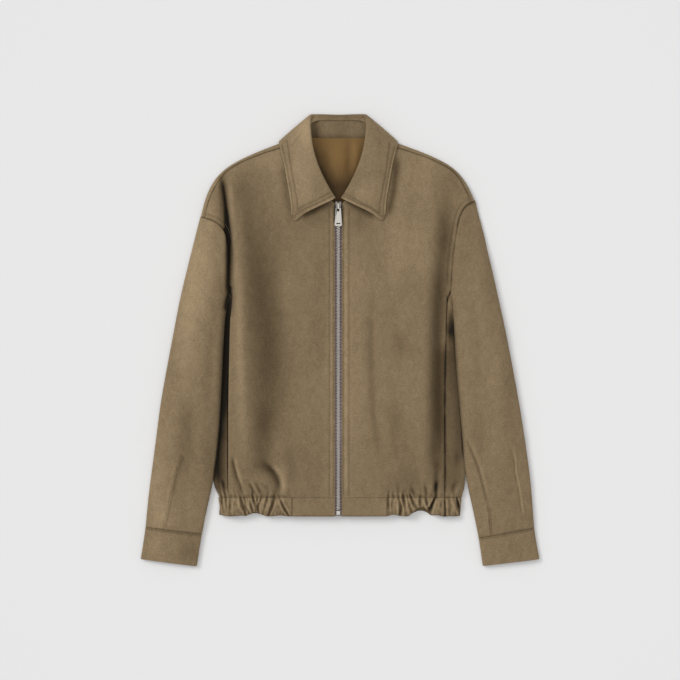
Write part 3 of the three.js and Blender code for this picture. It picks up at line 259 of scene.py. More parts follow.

# painted shade and painted highlight, as darker or lighter nap along lines: shadows in deep folds,
# creases and beside parts, and lit ridges beside them
SHADES = [
    # pieces, tone, half, fade, path
    # the deep fold between the right sleeve and the body
    ("front_right back", -1.35, 3.2, 0.22,
     [(-196, 545), (-194.4, 505), (-192.6, 480), (-193, 445), (-193, 413), (-195.4, 362)]),
    ("back", -1.5, 2.8, 0.16,
     [(-193, 430), (-195.1, 378), (-196.9, 325), (-199, 273), (-200.5, 238)]),
    ("sleeve_right", -0.85, 3.0, 0.15, [(-196, 535), (-193.6, 480), (-193, 422), (-194.6, 385)]),
    ("sleeve_right", -0.35, 2.2, 0.10, [(-194.6, 395), (-196, 360), (-198.4, 300), (-201, 238)]),
    ("back sleeve_right", -1.5, 2.6, 0.08,
     [(-198, 310), (-199.5, 238), (-202.6, 194), (-206, 150), (-210.6, 107), (-216, 67),
      (-217, 56)]),
    ("back", -1.2, 2.6, 0.1, [(-219, 80), (-217.5, 62), (-214.5, 48), (-212, 34)]),
    ("hem_band hem_tab_right hem_tab_left", -0.28, 1.5, 0.01, [(-213, 0.4), (213, 0.4)]),
    ("front_right back", -0.75, 4.2, 0.2,
     [(-206, 600), (-203.4, 586), (-200.6, 568), (-198.2, 550), (-196.6, 532), (-194.6, 505),
      (-193, 470)]),
    ("front_right", -0.45, 4.4, 0.3,
     [(-190, 535), (-189, 500), (-188, 440), (-188.5, 390), (-191, 330)]),
    ("front_right", 0.26, 4.5, 0.2,
     [(-193, 604), (-191.6, 588), (-188.4, 556), (-185, 520), (-182, 483), (-180, 448),
      (-182.5, 400), (-185, 370)]),
    ("front_right", -0.13, 12, 0.3, [(-170, 610), (-168, 560), (-164, 500), (-160, 460)]),
    ("back", -0.52, 13, 0.04,
     [(-192, 410), (-194, 360), (-196, 300), (-198, 200), (-202, 110), (-205, 36)]),
    ("back", -0.55, 10, 0.35, [(-191, 450), (-195, 330), (-198, 230), (-202, 110)]),
    ("back sleeve_right front_right", -0.9, 4.6, 0.1, [(-190, 404), (-192.6, 386), (-196, 358)]),
    ("back", -0.22, 9, 0.2, [(-202, 165), (-206, 110), (-208, 52)]),
    # the broad valley of the right front
    ("front_right", -0.25, 29, 0.35,
     [(-156, 560), (-140, 413), (-130, 360), (-124, 308), (-123, 238), (-127, 173), (-132, 105)]),
    ("front_right", -0.27, 20, 0.35,
     [(-128, 220), (-130, 160), (-134, 110), (-140, 60), (-142, 34)]),
    ("front_right", -0.12, 12, 0.35, [(-92, 150), (-86, 110), (-84, 70), (-84, 34)]),
    ("front_right", 0.10, 8, 0.3, [(-178, 470), (-174, 380), (-171, 250), (-168, 130)]),
    # painted shadow of the slider and pull tab on the zip tapes
    ("zip_tape_right zip_tape_left", -1.0, 9, 0.12, [(0, 502), (0, 550)]),
    # beside the collar's leaves
    ("front_left", -0.50, 7, 0.25, [(104, 640), (100, 600), (94.5, 560), (87, 528), (74, 512)]),
    ("front_right", -0.24, 7, 0.3, [(-101, 636), (-94, 590), (-89, 545), (-78, 512)]),
    ("front_left", -0.32, 6, 0.2, [(8, 552), (16, 548), (40, 536), (66, 519)]),
    ("front_right", -0.32, 6, 0.2, [(-8, 552), (-16, 548), (-40, 536), (-66, 519)]),
    # painted shadow in the gaps beside the pull tab
    ("front_left", -0.9, 1.7, 0.2, [(5.4, 508), (5.0, 546)]),
    ("front_right", -0.9, 1.7, 0.2, [(-5.4, 508), (-5.0, 546)]),
    ("collar_leaf", 0.28, 3.4, 0.06, [(-103, 640), (-95, 612), (-89.8, 588), (-79.6, 528)]),
    ("collar_leaf", 0.28, 3.4, 0.06, [(-72, 519.6), (-40, 537), (-8, 554)]),
    ("collar_leaf", 0.28, 3.4, 0.06, [(103, 640), (95, 612), (89.8, 588), (79.6, 528)]),
    ("collar_leaf", 0.28, 3.4, 0.06, [(72, 519.6), (40, 537), (8, 554)]),
    ("collar_leaf collar_stand", -0.22, 1.5, 0.1,
     [(-46, 689.5), (-30, 691.2), (30, 691.2), (46, 689.5)]),
    ("collar_leaf", -0.16, 1.8, 0.3, [(-81.4, 642), (-76, 652), (-70.9, 661), (-62, 667)]),
    ("collar_leaf", 0.12, 2.2, 0.3, [(-84, 647), (-78, 657), (-70, 666)]),
    ("collar_leaf", -0.12, 1.8, 0.3, [(-76, 637), (-70, 649), (-64, 658)]),
    ("collar_leaf", -0.12, 1.8, 0.3, [(76, 660), (70, 650), (68, 634)]),
    ("lining_back", -0.5, 6, 0.2, [(-44, 655), (-38, 622), (-26, 588), (-12, 566)]),
    ("lining_back", -0.25, 5, 0.2, [(44, 655), (38, 622), (26, 588), (12, 566)]),
    # the left side: the long dark valley, the turned side and the sleeve's edge
    ("front_left", -0.36, 15, 0.2,
     [(188, 580), (187, 500), (181, 440), (175, 380), (171, 300), (169, 230), (171, 150),
      (171, 70)]),
    ("back", -1.0, 3.2, 0.1,
     [(197, 350), (202, 290), (207.4, 229), (209.1, 203), (212.6, 150), (216.1, 98)]),
    ("back", -0.34, 9, 0.15, [(194, 350), (200, 230), (203, 150), (204, 80)]),
    ("front_left back", -0.33, 11, 0.12,
     [(186, 310), (184, 238), (184, 150), (185, 60), (187, 30)]),
    ("back", -0.24, 9, 0.25, [(203, 120), (203, 60), (204, 34)]),
    ("front_left back sleeve_left", -0.5, 3.6, 0.35,
     [(193.8, 368), (193.6, 343), (192.6, 325), (193, 300)]),
    ("hem_band", -0.5, 1.8, 0.02, [(185.5, 36), (186.4, -2)]),
    ("sleeve_left", -0.35, 4, 0.15, [(199, 350), (207, 229), (213, 150), (217, 98)]),
    ("front_left back", 0.10, 3, 0.2, [(180.6, 330), (181, 200), (181, 60)]),
    ("front_left", 0.15, 2.2, 0.03, [(12.6, 36), (12.6, 536)]),
    ("front_right", 0.10, 2.0, 0.03, [(-11.6, 36), (-11.6, 540)]),
    # shoulders
    ("back front_right", 0.14, 3.5, 0.2, [(-190, 611), (-209, 592), (-228, 560), (-237, 530)]),
    ("front_left", 0.10, 4, 0.2, [(225, 540), (215, 527), (207, 500), (203, 470)]),
    # the puff above the hem, on the right front
    ("front_right", -0.30, 4.4, 0.35,
     [(-130, 96), (-119, 86), (-110, 75), (-104.5, 62), (-104, 50), (-107, 36)]),
    ("front_right", -0.18, 9, 0.3, [(-137, 104), (-124, 84), (-114, 66), (-112, 45)]),
    ("front_right", 0.22, 4.5, 0.3, [(-118, 94), (-101, 76), (-95, 58), (-97, 38)]),
    ("front_right", -0.40, 2.4, 0.2,
     [(-186, 110), (-181.4, 85.7), (-177, 68), (-171, 56), (-169, 44), (-166, 35)]),
    ("front_right", 0.20, 3, 0.3, [(-182, 112), (-176.5, 85), (-171, 66), (-164, 46)]),
    ("front_right", -0.30, 2.4, 0.3, [(-158, 60), (-152, 54), (-148, 42), (-145, 34)]),
    ("front_right", -0.26, 2.0, 0.3, [(-150, 66), (-143, 54), (-137, 42), (-130, 32)]),
    ("front_right", -0.20, 2.0, 0.35, [(-138, 62), (-130, 54), (-124, 46)]),
    ("front_right", 0.16, 3, 0.35, [(-155, 66), (-148, 56), (-142, 42)]),
    ("front_right", -0.34, 2.0, 0.3, [(-130, 33), (-122, 31), (-114, 36), (-108, 39)]),
    ("front_right", 0.16, 2.0, 0.3, [(-128, 37), (-120, 35), (-112, 40)]),
    ("front_right", -0.18, 2.2, 0.3, [(-88, 56), (-86, 44), (-85, 33)]),
    ("back", 0.30, 3.4, 0.3, [(-202, 60), (-199, 48), (-195, 36)]),
    ("back", -0.5, 2.4, 0.25, [(-199, 64), (-197.4, 46), (-197, 32)]),
    # above the hem, on the left front
    ("front_left", -0.24, 6, 0.3, [(173, 110), (171, 84), (169.8, 56), (169.4, 30)]),
    ("front_left", -0.40, 3.4, 0.3, [(170.8, 66), (169.8, 46), (169.4, 28)]),
    ("hem_band", -0.5, 2.2, 0.1, [(169.4, 36), (166, 24), (157, 9)]),
    ("front_left", -0.12, 9, 0.4, [(166, 150), (166, 100), (163, 60)]),
    ("front_left", -0.26, 1.8, 0.3, [(126, 52), (130, 42), (134, 34)]),
    ("front_left", -0.30, 2.0, 0.3, [(151, 56), (152.5, 44), (155, 34)]),
    ("front_left", -0.20, 1.8, 0.3, [(114, 48), (116, 34)]),
    ("front_left", -0.22, 1.8, 0.3, [(88, 50), (87, 34)]),
    ("front_left", 0.14, 2.4, 0.3, [(101, 42), (96, 34)]),
    ("front_left", 0.16, 3, 0.3, [(160, 60), (161, 38)]),
    ("front_left", -0.12, 6, 0.3, [(57, 420), (55, 300), (60, 160), (84, 50)]),
    ("back", -0.2, 2.6, 0.3, [(204, 64), (199, 54), (198, 44), (202, 34)]),
    ("back", 0.30, 2.6, 0.3, [(213, 58), (208, 48), (204, 36)]),
    ("hem_band", -0.6, 2.0, 0.2, [(205, 36), (208.5, 26), (212.6, 13)]),
    # sleeves
    ("sleeve_left", 0.22, 1.9, 0.25,
     [(303.6, 129.5), (305.5, 112), (310, 96), (309.6, 80), (314, 60), (319, 34), (321.5, 10),
      (328, -14)]),
    ("sleeve_left", -0.20, 1.9, 0.25,
     [(300.8, 129.5), (302.7, 112), (307, 95), (306.8, 79), (311.2, 58), (316, 34),
      (318.5, 10), (325, -14)]),
    ("sleeve_left", -0.2, 2.2, 0.15, [(221, 137), (241, 94), (252, 54), (259, 24), (261, 14)]),
    ("sleeve_left", 0.13, 2.4, 0.3, [(226, 138), (245.6, 96), (256.6, 55), (263, 28)]),
    ("sleeve_right", 0.12, 3, 0.2, [(-276, 104), (-285, 85), (-292, 60), (-298, 26), (-306, -12)]),
    ("sleeve_right", -0.16, 4, 0.2, [(-268, 110), (-276, 86), (-284, 60), (-288, 30)]),
    ("cuff_right", -0.10, 3, 0.1, [(-337, -22), (-290, -28), (-238, -35)]),
    ("cuff_right", 0.10, 2, 0.1, [(-338, -77), (-304, -82), (-262, -92)]),
]

# the gathers of the hem band: the top of each, its foot, how deep and how wide
GATHERS = [
    # top x, foot x, depth, half
    (-204, -200, 1.6, 2.6), (-197, -196, 1.1, 2.2), (-188, -190, 0.7, 2.4), (-171, -160, 2.1, 2.8),
    (-164, -154, 1.2, 2.2), (-154, -148, 1.0, 2.0), (-149, -143, 1.7, 2.4), (-141, -138, 1.3, 2.2),
    (-134, -139, 1.5, 2.4), (-124, -131, 1.0, 2.2), (-112, -122, 1.9, 2.6), (-103, -86, 1.8, 2.4),
    (87, 88, 1.2, 2.2), (96, 97, 0.5, 2.0), (105, 107, 2.2, 2.8), (113, 118, 2.0, 2.6),
    (121, 129, 0.9, 2.2), (127, 139, 1.4, 2.6), (143, 146, 1.3, 2.2), (153, 156, 1.5, 2.4),
    (169, 158, 2.5, 3.0), (180, 178, 0.4, 2.2), (193, 194, 0.7, 2.4), (202, 205, 0.6, 2.0),
    (206, 213, 1.8, 2.6),
]

# how far the hem's lower edge pulls up between the gathers
HEM_EDGE = [
    # x, rise
    (-210, 2.5), (-205, 1.2), (-198, 0.2), (-186, 0.2), (-172, 1.2), (-162, -0.4), (-155, 2.2),
    (-149, 4.2), (-141, 4.2), (-133, 1.4), (-124, 0), (-108, 0.6), (-98, 1.0), (-88, 0.2), (-60, 0),
    (60, 0), (88, 0.2), (97, 2.0), (107, 0.4), (121, 0), (128, 2.8), (134, 6.6), (142, 9.2),
    (152, 8.4), (156, 4.6), (160, 1.2), (167, 0.2), (174, 2.0), (181, 0), (212, 0),
]

# ---------------------------------------------------------------- seams and stitched rows
ARM_RIGHT = [
    (-240.6, 523.2), (-228.4, 520.6), (-216.1, 515.4), (-205.6, 508.4), (-196.5, 496),
    (-192.5, 468), (-191, 430), (-190.5, 402),
]
ARM_LEFT = [
    (238.9, 551.2), (230.1, 548.6), (219.6, 540.8), (212.6, 528.5), (207.4, 509.2), (203, 483),
    (198.6, 448), (196.6, 420), (196.2, 402),
]
SHOULDER_RIGHT = [
    (-74, 650), (-100.6, 643), (-137.4, 631.5), (-172.4, 617), (-189.9, 607), (-205, 594),
    (-222, 562), (-230, 540), (-234, 522.4),
]
SHOULDER_LEFT = [
    (74, 650), (105.9, 642.5), (125.1, 636.5), (160.1, 624.6), (195.1, 607.6), (209, 594),
    (222, 571), (233, 549.8),
]
CUFF_RIGHT = [(-337.8, -19.2), (-290, -25.0), (-238, -31.5)]
CUFF_LEFT = [(343, -21), (296, -29.2), (245.4, -38.5)]
PLACKET_RIGHT = [
    (-272, 108), (-281, 89), (-288, 63), (-291.4, 45.5), (-294, 28), (-301.9, -7), (-304.8, -23),
]
PLACKET_LEFT = [(260.6, 16), (263, -4), (265.3, -34)]

# depth and half: the dip that a seam draws into the pieces on both sides of it
# ledge: how much higher the cloth lies on the left of its path (on its right if negative)
SEAMS = [
    # pieces, depth, half, ledge, path
    ("front_right back", -1.3, 1.4, -0.5, SHOULDER_RIGHT),
    ("front_left back", -1.3, 1.4, 0.5, SHOULDER_LEFT),
    ("front_right sleeve_right back", -1.5, 1.5, 0.9, ARM_RIGHT),
    ("front_left sleeve_left back", -1.5, 1.5, -0.9, ARM_LEFT),
    ("sleeve_right cuff_right", -0.6, 1.2, -0.4, CUFF_RIGHT),
    ("sleeve_left cuff_left", -0.6, 1.2, 0.4, CUFF_LEFT),
    ("sleeve_right", -1.0, 1.1, 1.1, PLACKET_RIGHT),
    ("sleeve_left", -1.0, 1.1, -1.1, PLACKET_LEFT),
    ("front_right hem_band back", -0.45, 1.3, -0.2, [(-215, 33), (-80, 33)]),
    ("front_left hem_band back", -0.45, 1.3, -0.2, [(85, 33), (221, 33)]),
    ("front_right hem_tab_right", -0.16, 1.2, -0.1, [(-80, 33), (0, 33)]),
    ("front_left hem_tab_left", -0.12, 1.2, -0.1, [(0, 33), (85, 33)]),
    ("hem_band", -1.0, 1.2, 0.3, [(185.5, 34), (186.5, -2)]),
    ("hem_band hem_tab_right", -0.9, 1.2, 0.4, [(-80.5, 36), (-80.5, -2)]),
    ("hem_band hem_tab_left", -0.7, 1.2, -0.4, [(84.9, 36), (84.9, -2)]),
    ("front_left back", -1.6, 1.4, 0.8, [(185.5, 30), (185.5, 203), (187.5, 310), (190, 383)]),
]

# off: how far a row of stitches lies from its path, to the left of it if positive
STITCH_ROWS = [
    # piece, off, from, to, path
    ("front_right", 4.5, 0.02, 0.98, SHOULDER_RIGHT[::-1]),
    ("front_left", 4.5, 0.02, 0.98, SHOULDER_LEFT),
    ("front_right", 7.0, 0.05, 0.62, ARM_RIGHT),
    ("front_left", -7.0, 0.05, 0.98, ARM_LEFT),
    ("cuff_right", -3.2, 0.03, 0.97, CUFF_RIGHT),
    ("cuff_left", 3.2, 0.03, 0.97, CUFF_LEFT),
    ("sleeve_right", 3.0, 0.02, 0.97, PLACKET_RIGHT),
    ("sleeve_left", 3.0, 0.04, 0.95, PLACKET_LEFT),
    ("front_right", 2.6, 0.0, 1.0, [(-205, 33), (-84, 33)]),
    ("front_left", 2.6, 0.0, 1.0, [(88, 33), (208, 33)]),
    ("front_right", 0, 0.0, 1.0, [(-15.6, 37), (-15.6, 536)]),
    ("front_left", 0, 0.0, 1.0, [(18.4, 37), (18.4, 536)]),
    ("front_right", 0, 0.0, 1.0, [(-8.6, 37), (-8.6, 540)]),
    ("front_left", 0, 0.0, 1.0, [(8.6, 37), (8.6, 540)]),
    ("collar_leaf", 0, 0.0, 1.0,
     [(-89.5, 655), (-83.1, 614.3), (-78.4, 588), (-69.4, 536.6), (-40, 549.6), (-13.1, 563.5)]),
    ("collar_leaf", 0, 0.0, 1.0,
     [(89.5, 650), (83.5, 604), (81, 588), (69.5, 531.4), (40, 546), (11.4, 561.8)]),
    ("collar_leaf", 0, 0.0, 1.0,
     [(-98.5, 648), (-91.6, 616), (-86.2, 588), (-76.6, 528.6), (-40, 543), (-10, 557)]),
    ("collar_leaf", 0, 0.0, 1.0,
     [(98.5, 645), (91.6, 616), (86.2, 588), (76.6, 528.4), (40, 543), (10, 557)]),
]

# the zip
CHAIN_FOOT, CHAIN_HEAD = 13.0, 533.0
TOOTH_PITCH = 2.9


# ---------------------------------------------------------------- small tools
def linear(code):
    """A colour given as sRGB hex, as linear red, green and blue."""
    parts = [int(code[i:i + 2], 16) / 255 for i in (1, 3, 5)]
    return [c / 12.92 if c <= 0.04045 else ((c + 0.055) / 1.055) ** 2.4 for c in parts]


def fill(node, inputs):
    """Sets a node's inputs, each to a value or linked to a socket."""
    for key, value in inputs.items():
        if isinstance(value, bpy.types.NodeSocket):
            node.id_data.links.new(value, node.inputs[key])
        else:
            node.inputs[key].default_value = value


def add(tree, kind, inputs=None, **settings):
    """Adds a node with its settings, and its inputs as values or as sockets to link."""
    made = tree.nodes.new(kind)
    for name, value in settings.items():
        setattr(made, name, value)
    fill(made, inputs or {})
    return made


def at(x, y, z=0.0):
    """A place of the tables, in metres in the model's frame."""
    return Vector(((x + ZIP_MIDDLE_X) * MM, (y + HEM_Y) * MM, z * MM))


def only(*objects):
    """Leaves just these objects selected, the first of them active."""
    bpy.ops.object.select_all(action="DESELECT")
    for each in objects:
        each.select_set(True)
    bpy.context.view_layer.objects.active = objects[0]


def apply_modifiers(piece):
    """Makes a piece's modifiers part of its mesh."""
    only(piece)
    for each in [m.name for m in piece.modifiers]:
        bpy.ops.object.modifier_apply(modifier=each)


def linked(name, mesh):
    """A new object of a mesh, in the scene."""
    piece = bpy.data.objects.new(name, mesh)
    bpy.context.collection.objects.link(piece)
    return piece


def smoothed(path, rounds=3):
    """A path with its corners cut, so that it runs as cloth is sewn."""
    line = np.array(path, float)
    if len(line) < 3:
        return line
    for _ in range(rounds):
        near = line[:-1] * 0.75 + line[1:] * 0.25
        far = line[:-1] * 0.25 + line[1:] * 0.75
        inner = np.stack([near, far], axis=1).reshape(-1, 2)
        line = np.vstack([line[:1], inner[1:-1], line[-1:]])
    return line


def beside(points, path):
    """Each point's distance from a path, its share of the way along, its side; and the length."""
    line = np.array(path, float)
    legs = line[1:] - line[:-1]
    lengths = np.hypot(legs[:, 0], legs[:, 1])
    starts = np.concatenate([[0], np.cumsum(lengths)])
    gap = np.full(len(points), 1e9)
    place, side = np.zeros(len(points)), np.zeros(len(points))
    for first, leg, length, start in zip(line[:-1], legs, lengths, starts[:-1]):
        offset = points - first
        t = np.clip(offset @ leg / length ** 2, 0, 1)
        away = offset - t[:, None] * leg
        reach = np.hypot(away[:, 0], away[:, 1])
        nearer = reach < gap
        gap[nearer] = reach[nearer]
        place[nearer] = ((start + t * length) / starts[-1])[nearer]
        side[nearer] = np.sign(leg[0] * offset[:, 1] - leg[1] * offset[:, 0])[nearer]
    return gap, place, side, starts[-1]


def step(value, low=0.0, high=1.0):
    """Goes smoothly from 0 to 1 as value goes from low to high."""
    t = np.clip((value - low) / (high - low), 0, 1)
    return t * t * (3 - 2 * t)


def swell(points, seed, shortest, longest, waves=9):
    """Slow, irregular rises and hollows of height about 1."""
    draw = np.random.default_rng(seed)
    total = np.zeros(len(points))
    for _ in range(waves):
        turn, length = draw.uniform(0, math.tau), draw.uniform(shortest, longest)
        phase = draw.uniform(0, math.tau)
        across = points[:, 0] * math.cos(turn) + points[:, 1] * math.sin(turn)
        total += np.sin(across * math.tau / length + phase)
    return total / math.sqrt(waves)


def bell(distance, half):
    """1 at no distance, and less away from it: about a third at half."""
    return np.exp(-(distance / half) ** 2)


def faded(along, fade):
    """0 at both ends of a path and 1 between, over a share fade of its length."""
    return step(np.minimum(along, 1 - along), 0, fade)


# ---------------------------------------------------------------- cloth
def copied(node, name):
    """A copy of a solid as one joined mesh of four-sided faces where it can be."""
    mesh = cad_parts[node].data.copy()
    mesh.name = name
    mesh.materials.clear()
    work = bmesh.new()
    work.from_mesh(mesh)
    bmesh.ops.remove_doubles(work, verts=work.verts, dist=MERGE * MM)
    bmesh.ops.join_triangles(
        work, faces=work.faces, angle_face_threshold=math.radians(50),
        angle_shape_threshold=math.radians(80),
    )
    return mesh, work


def fold_depth(node, flat):
    """How far each point of a piece is lifted or sunk by its folds and seams."""
    rise, seam = np.zeros(len(flat)), np.zeros(len(flat))
    for names, depth, half, fade, lip, path in FOLDS:
        if node in names.split():
            gap, place, side, _ = beside(flat, smoothed(path))
            ends = faded(place, fade)
            rise += depth * bell(gap, half) * ends
            if lip:
                beyond = bell(gap - LIP_AWAY * half, half)
                rise += abs(depth) * lip * beyond * ends * (side * lip > 0)
    for names, depth, half, ledge, path in SEAMS:
        if node in names.split():
            gap, place, side, length = beside(flat, smoothed(path))
            rise += depth * bell(gap, half)
            rise += abs(ledge) * (side * ledge > 0) * np.exp(-gap / LEDGE_RUNS_OUT)
            # a seam is drawn in unevenly, and puckers the cloth on both sides
            drawn = np.clip(-depth / 1.5 * (1 + 0.35 * swell(flat, 23, 9, 40)), 0, 1.3)
            seam = np.maximum(seam, drawn * bell(gap, half))
            pucker = np.sin(place * length / PUCKER_PITCH * math.tau
                            + 1.3 * np.sin(place * length / 31))
            rise += PUCKER_DEPTH * pucker * bell(gap - PUCKER_AWAY, 3.5)
    for name, off, start, end, path in STITCH_ROWS:
        if node == name:
            gap = beside(flat, offset_path(path, off, start, end))[0]
            rise -= STITCH_DIP * bell(gap, STITCH_HALF)
            seam = np.maximum(seam, STITCH_SHADE * bell(gap, STITCH_HALF))
    return rise, seam


def gather_depth(flat):
    """The gathers of the hem band, each deepest at its own height and a little bowed."""
    rise = np.zeros(len(flat))
    draw = np.random.default_rng(8)
    up = np.clip(flat[:, 1] / BAND_HEIGHT, 0, 1.6)
    for top, foot, depth, half in GATHERS:
        bow, peak = draw.uniform(-3.2, 3.2), draw.uniform(0.35, 0.95)
        reach = draw.uniform(0.32, 0.62)
        middle = foot + (top - foot) * np.minimum(up, 1.25)
        middle += bow * np.sin(np.minimum(up, 1) * math.pi)
        gap = (flat[:, 0] - middle) / (half * (0.5 + 0.45 * bell(up - peak, 0.4)))
        strength = depth * (0.15 + 0.85 * bell(up - peak, reach))
        # a trough, with a ridge on each side of it
        rise -= 2.2 * strength * bell(gap, 1.0)
        rise += 0.95 * strength * bell(np.abs(gap) - 2.1, 1.0)
    # fine crinkles between them
    rise += 0.42 * swell(flat * (1.0, 0.55), 31, 4.5, 12)
    # none on the tabs beside the zip, nor far above the band
    return rise * step(np.abs(flat[:, 0]), 82, 88) * (1 - step(flat[:, 1], 34, 52))


def rounded_tips(x, y, z):
    """Rounds the tips of the collar's upper leaf, and draws them out to where they reach."""
    upper = z > LEAF_FLOOR
    for side in (-1, 1):
        tip = np.exp(-((x - side * 77) ** 2 + (y - 524) ** 2) / 14 ** 2) * upper
        x += side * 3.4 * tip
        y -= 8.8 * tip
        across, up = x - side * 72.9, y - 523.6
        reach = np.hypot(across, up)
        corner = (across * side > -1.0) & (up < 2.0) & upper & (reach > LEAF_TIP)
        x[corner] = side * 72.9 + across[corner] * LEAF_TIP / reach[corner]
        y[corner] = 523.6 + up[corner] * LEAF_TIP / reach[corner]


def reshape(node, points, height):
    """Puts the new heights in, and moves what the solids leave plain: hem edge, sides, collar."""
    points[:, 2] = np.maximum(height, 0.0)
    x, y = points[:, 0], points[:, 1]
    if node.startswith("hem"):
        edge_x, edge_rise = np.array(HEM_EDGE).T
        y += np.interp(x, edge_x, edge_rise) * (1 - step(y, 2, 30))
    if node == "back":
        level, right, left = np.array(SIDE_REACH).T
        high = step(y, 230, 330)
        x += np.interp(y, level, right) * step(-x, 186 + 3 * high, 202 - 6 * high)
        x += np.interp(y, level, left) * step(x, 186 + 3 * high, 202 - 4 * high)
    for names, half, shift_x, shift_y, path in CLOSED:
        if node in names.split():
            near = bell(beside(points[:, :2], path)[0], half)
            x += shift_x * near
            y += shift_y * near
    if node == "collar_stand":
        # its head goes up under the roll, further and lower at the ends
        toward_end = step(np.abs(x), 24, 46)
        head = 691 - 6.5 * toward_end
        tucked = step(y, head - 7, head)
        y += (1.2 + 6.5 * toward_end) * tucked
        points[:, 2] -= (0.7 + 3.0 * toward_end) * tucked
    if node == "lining_back":
        y += 3.0 * step(y, 640, 659)
    if node == "collar_leaf":
        rounded_tips(x, y, points[:, 2])


def shade_and_nap_tone(node, flat):
    """The painted shade and painted highlight of a piece, along lines and in patches, with its
    nap's own patches.
    """
    tone = np.zeros(len(flat))
    for names, amount, half, fade, path in SHADES:
        if node in names.split():
            gap, along, _, _ = beside(flat, smoothed(path))
            tone += amount * bell(gap, half) * faded(along, fade)
    for names, x, y, across, along, amount in PATCHES:
        if node in names.split():
            away = ((flat[:, 0] - x) / across) ** 2 + ((flat[:, 1] - y) / along) ** 2
            tone += amount * np.exp(-away)
    return tone


def marked(piece, name, values):
    """Keeps one number for each point of a piece, for its material."""
    layer = piece.data.attributes.new(name, "FLOAT", "POINT")
    layer.data.foreach_set("value", np.asarray(values, np.float32))


def refined(piece_name, node, levels):
    """A solid's form with finer faces, its rims kept sharp."""
    mesh, work = copied(node, piece_name)
    layers = work.edges.layers.float
    crease = layers.get("crease_edge") or layers.new("crease_edge")
    for edge in work.edges:
        if len(edge.link_faces) == 2 and edge.calc_face_angle(0) > math.radians(62):
            edge[crease] = 1.0
    work.to_mesh(mesh)
    work.free()
    piece = linked(piece_name, mesh)
    finer = piece.modifiers.new("finer", "SUBSURF")
    finer.levels = finer.render_levels = levels
    finer.boundary_smooth = "PRESERVE_CORNERS"
    apply_modifiers(piece)
    return piece


def finished(piece, width, segments, smooth, angle=None):
    """Bevels the edges of a piece, all or those past an angle, and shades it smooth."""
    rim = piece.modifiers.new("rim", "BEVEL")
    if angle:
        rim.limit_method, rim.angle_limit = "ANGLE", math.radians(angle)
    rim.width, rim.segments = width * MM, segments
    apply_modifiers(piece)
    only(piece)
    bpy.ops.object.shade_smooth_by_angle(angle=math.radians(smooth))


def cloth(piece_name, node, levels, bottom, top):
    """A cut piece on its solid's form, finer, with its rims kept, its folds and its seams."""
    piece = refined(piece_name, node, levels)
    place = np.empty(len(piece.data.vertices) * 3)
    piece.data.vertices.foreach_get("co", place)
    origin = np.array([ZIP_MIDDLE_X, HEM_Y, 0])
    points = place.reshape(-1, 3) / MM - origin
    flat = points[:, :2].copy()
    weight = step(points[:, 2], bottom, top)
    rise, seam = fold_depth(node, flat)
    gathers = gather_depth(flat) if node in GATHERED else np.zeros(len(flat))
    rise += gathers
    # painted highlight on the ridges of folds and gathers and painted shade in their troughs; seams
    # and stitch rows darker as dark joints
    tone = 0.12 * np.tanh(rise / 1.6) + 0.30 * np.tanh(gathers / 1.8) - 0.26 * seam
    tone = tone * weight + shade_and_nap_tone(node, flat)
    # slow unevenness of the whole, less where the cloth is held
    slow = 0.55 * swell(flat, 5, 60, 150) + 0.22 * swell(flat, 11, 24, 52)
    rise += slow * (0.5 if node in HELD_FLAT else 1.0)
    height = points[:, 2] + rise * weight
    for names, share, half, fade, path in SUNK:
        if node in names.split():
            gap, along, _, _ = beside(flat, smoothed(path))
            loss = share * bell(gap, half) * faded(along, fade)
            height = np.where(height > UNDER, UNDER + (height - UNDER) * (1 - loss), height)
    reshape(node, points, height)
    piece.data.vertices.foreach_set("co", ((points + origin) * MM).ravel())
    # the nap mark holds the nap's own tone with painted shade and painted highlight in it
    marked(piece, "nap", np.clip(0.5 + 0.5 * tone, 0, 1))
    piece.data.update()
    finished(piece, 0.45, 2, 48, angle=52)
    return piece


def dressed(piece, node, material, body="jacket"):
    """Gives a piece its material, hides the solid that it stands in for, and parents it to what it
    moves with.
    """
    piece.data.materials.clear()
    piece.data.materials.append(material)
    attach(piece, body)
    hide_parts(node)


def cut_and_laid(group, material):
    """Makes the rows of one group of cut pieces."""
    for name, node, levels, bottom, top, width, length, share, under in CUT_PIECES[group]:
        piece = cloth(name, node, levels, bottom, top)
        dressed(piece, node, material)


# ---------------------------------------------------------------- materials
def fresh(name):
    """An empty material with its output, and its shader to be wired."""
    made = bpy.data.materials.get(name)
    if made:
        return made, None, None
    made = bpy.data.materials.new(name)
    made.use_nodes = True
    made.node_tree.nodes.clear()
    shader = add(made.node_tree, "ShaderNodeBsdfPrincipled")
    add(made.node_tree, "ShaderNodeOutputMaterial", {"Surface": shader.outputs[0]})
    return made, made.node_tree, shader


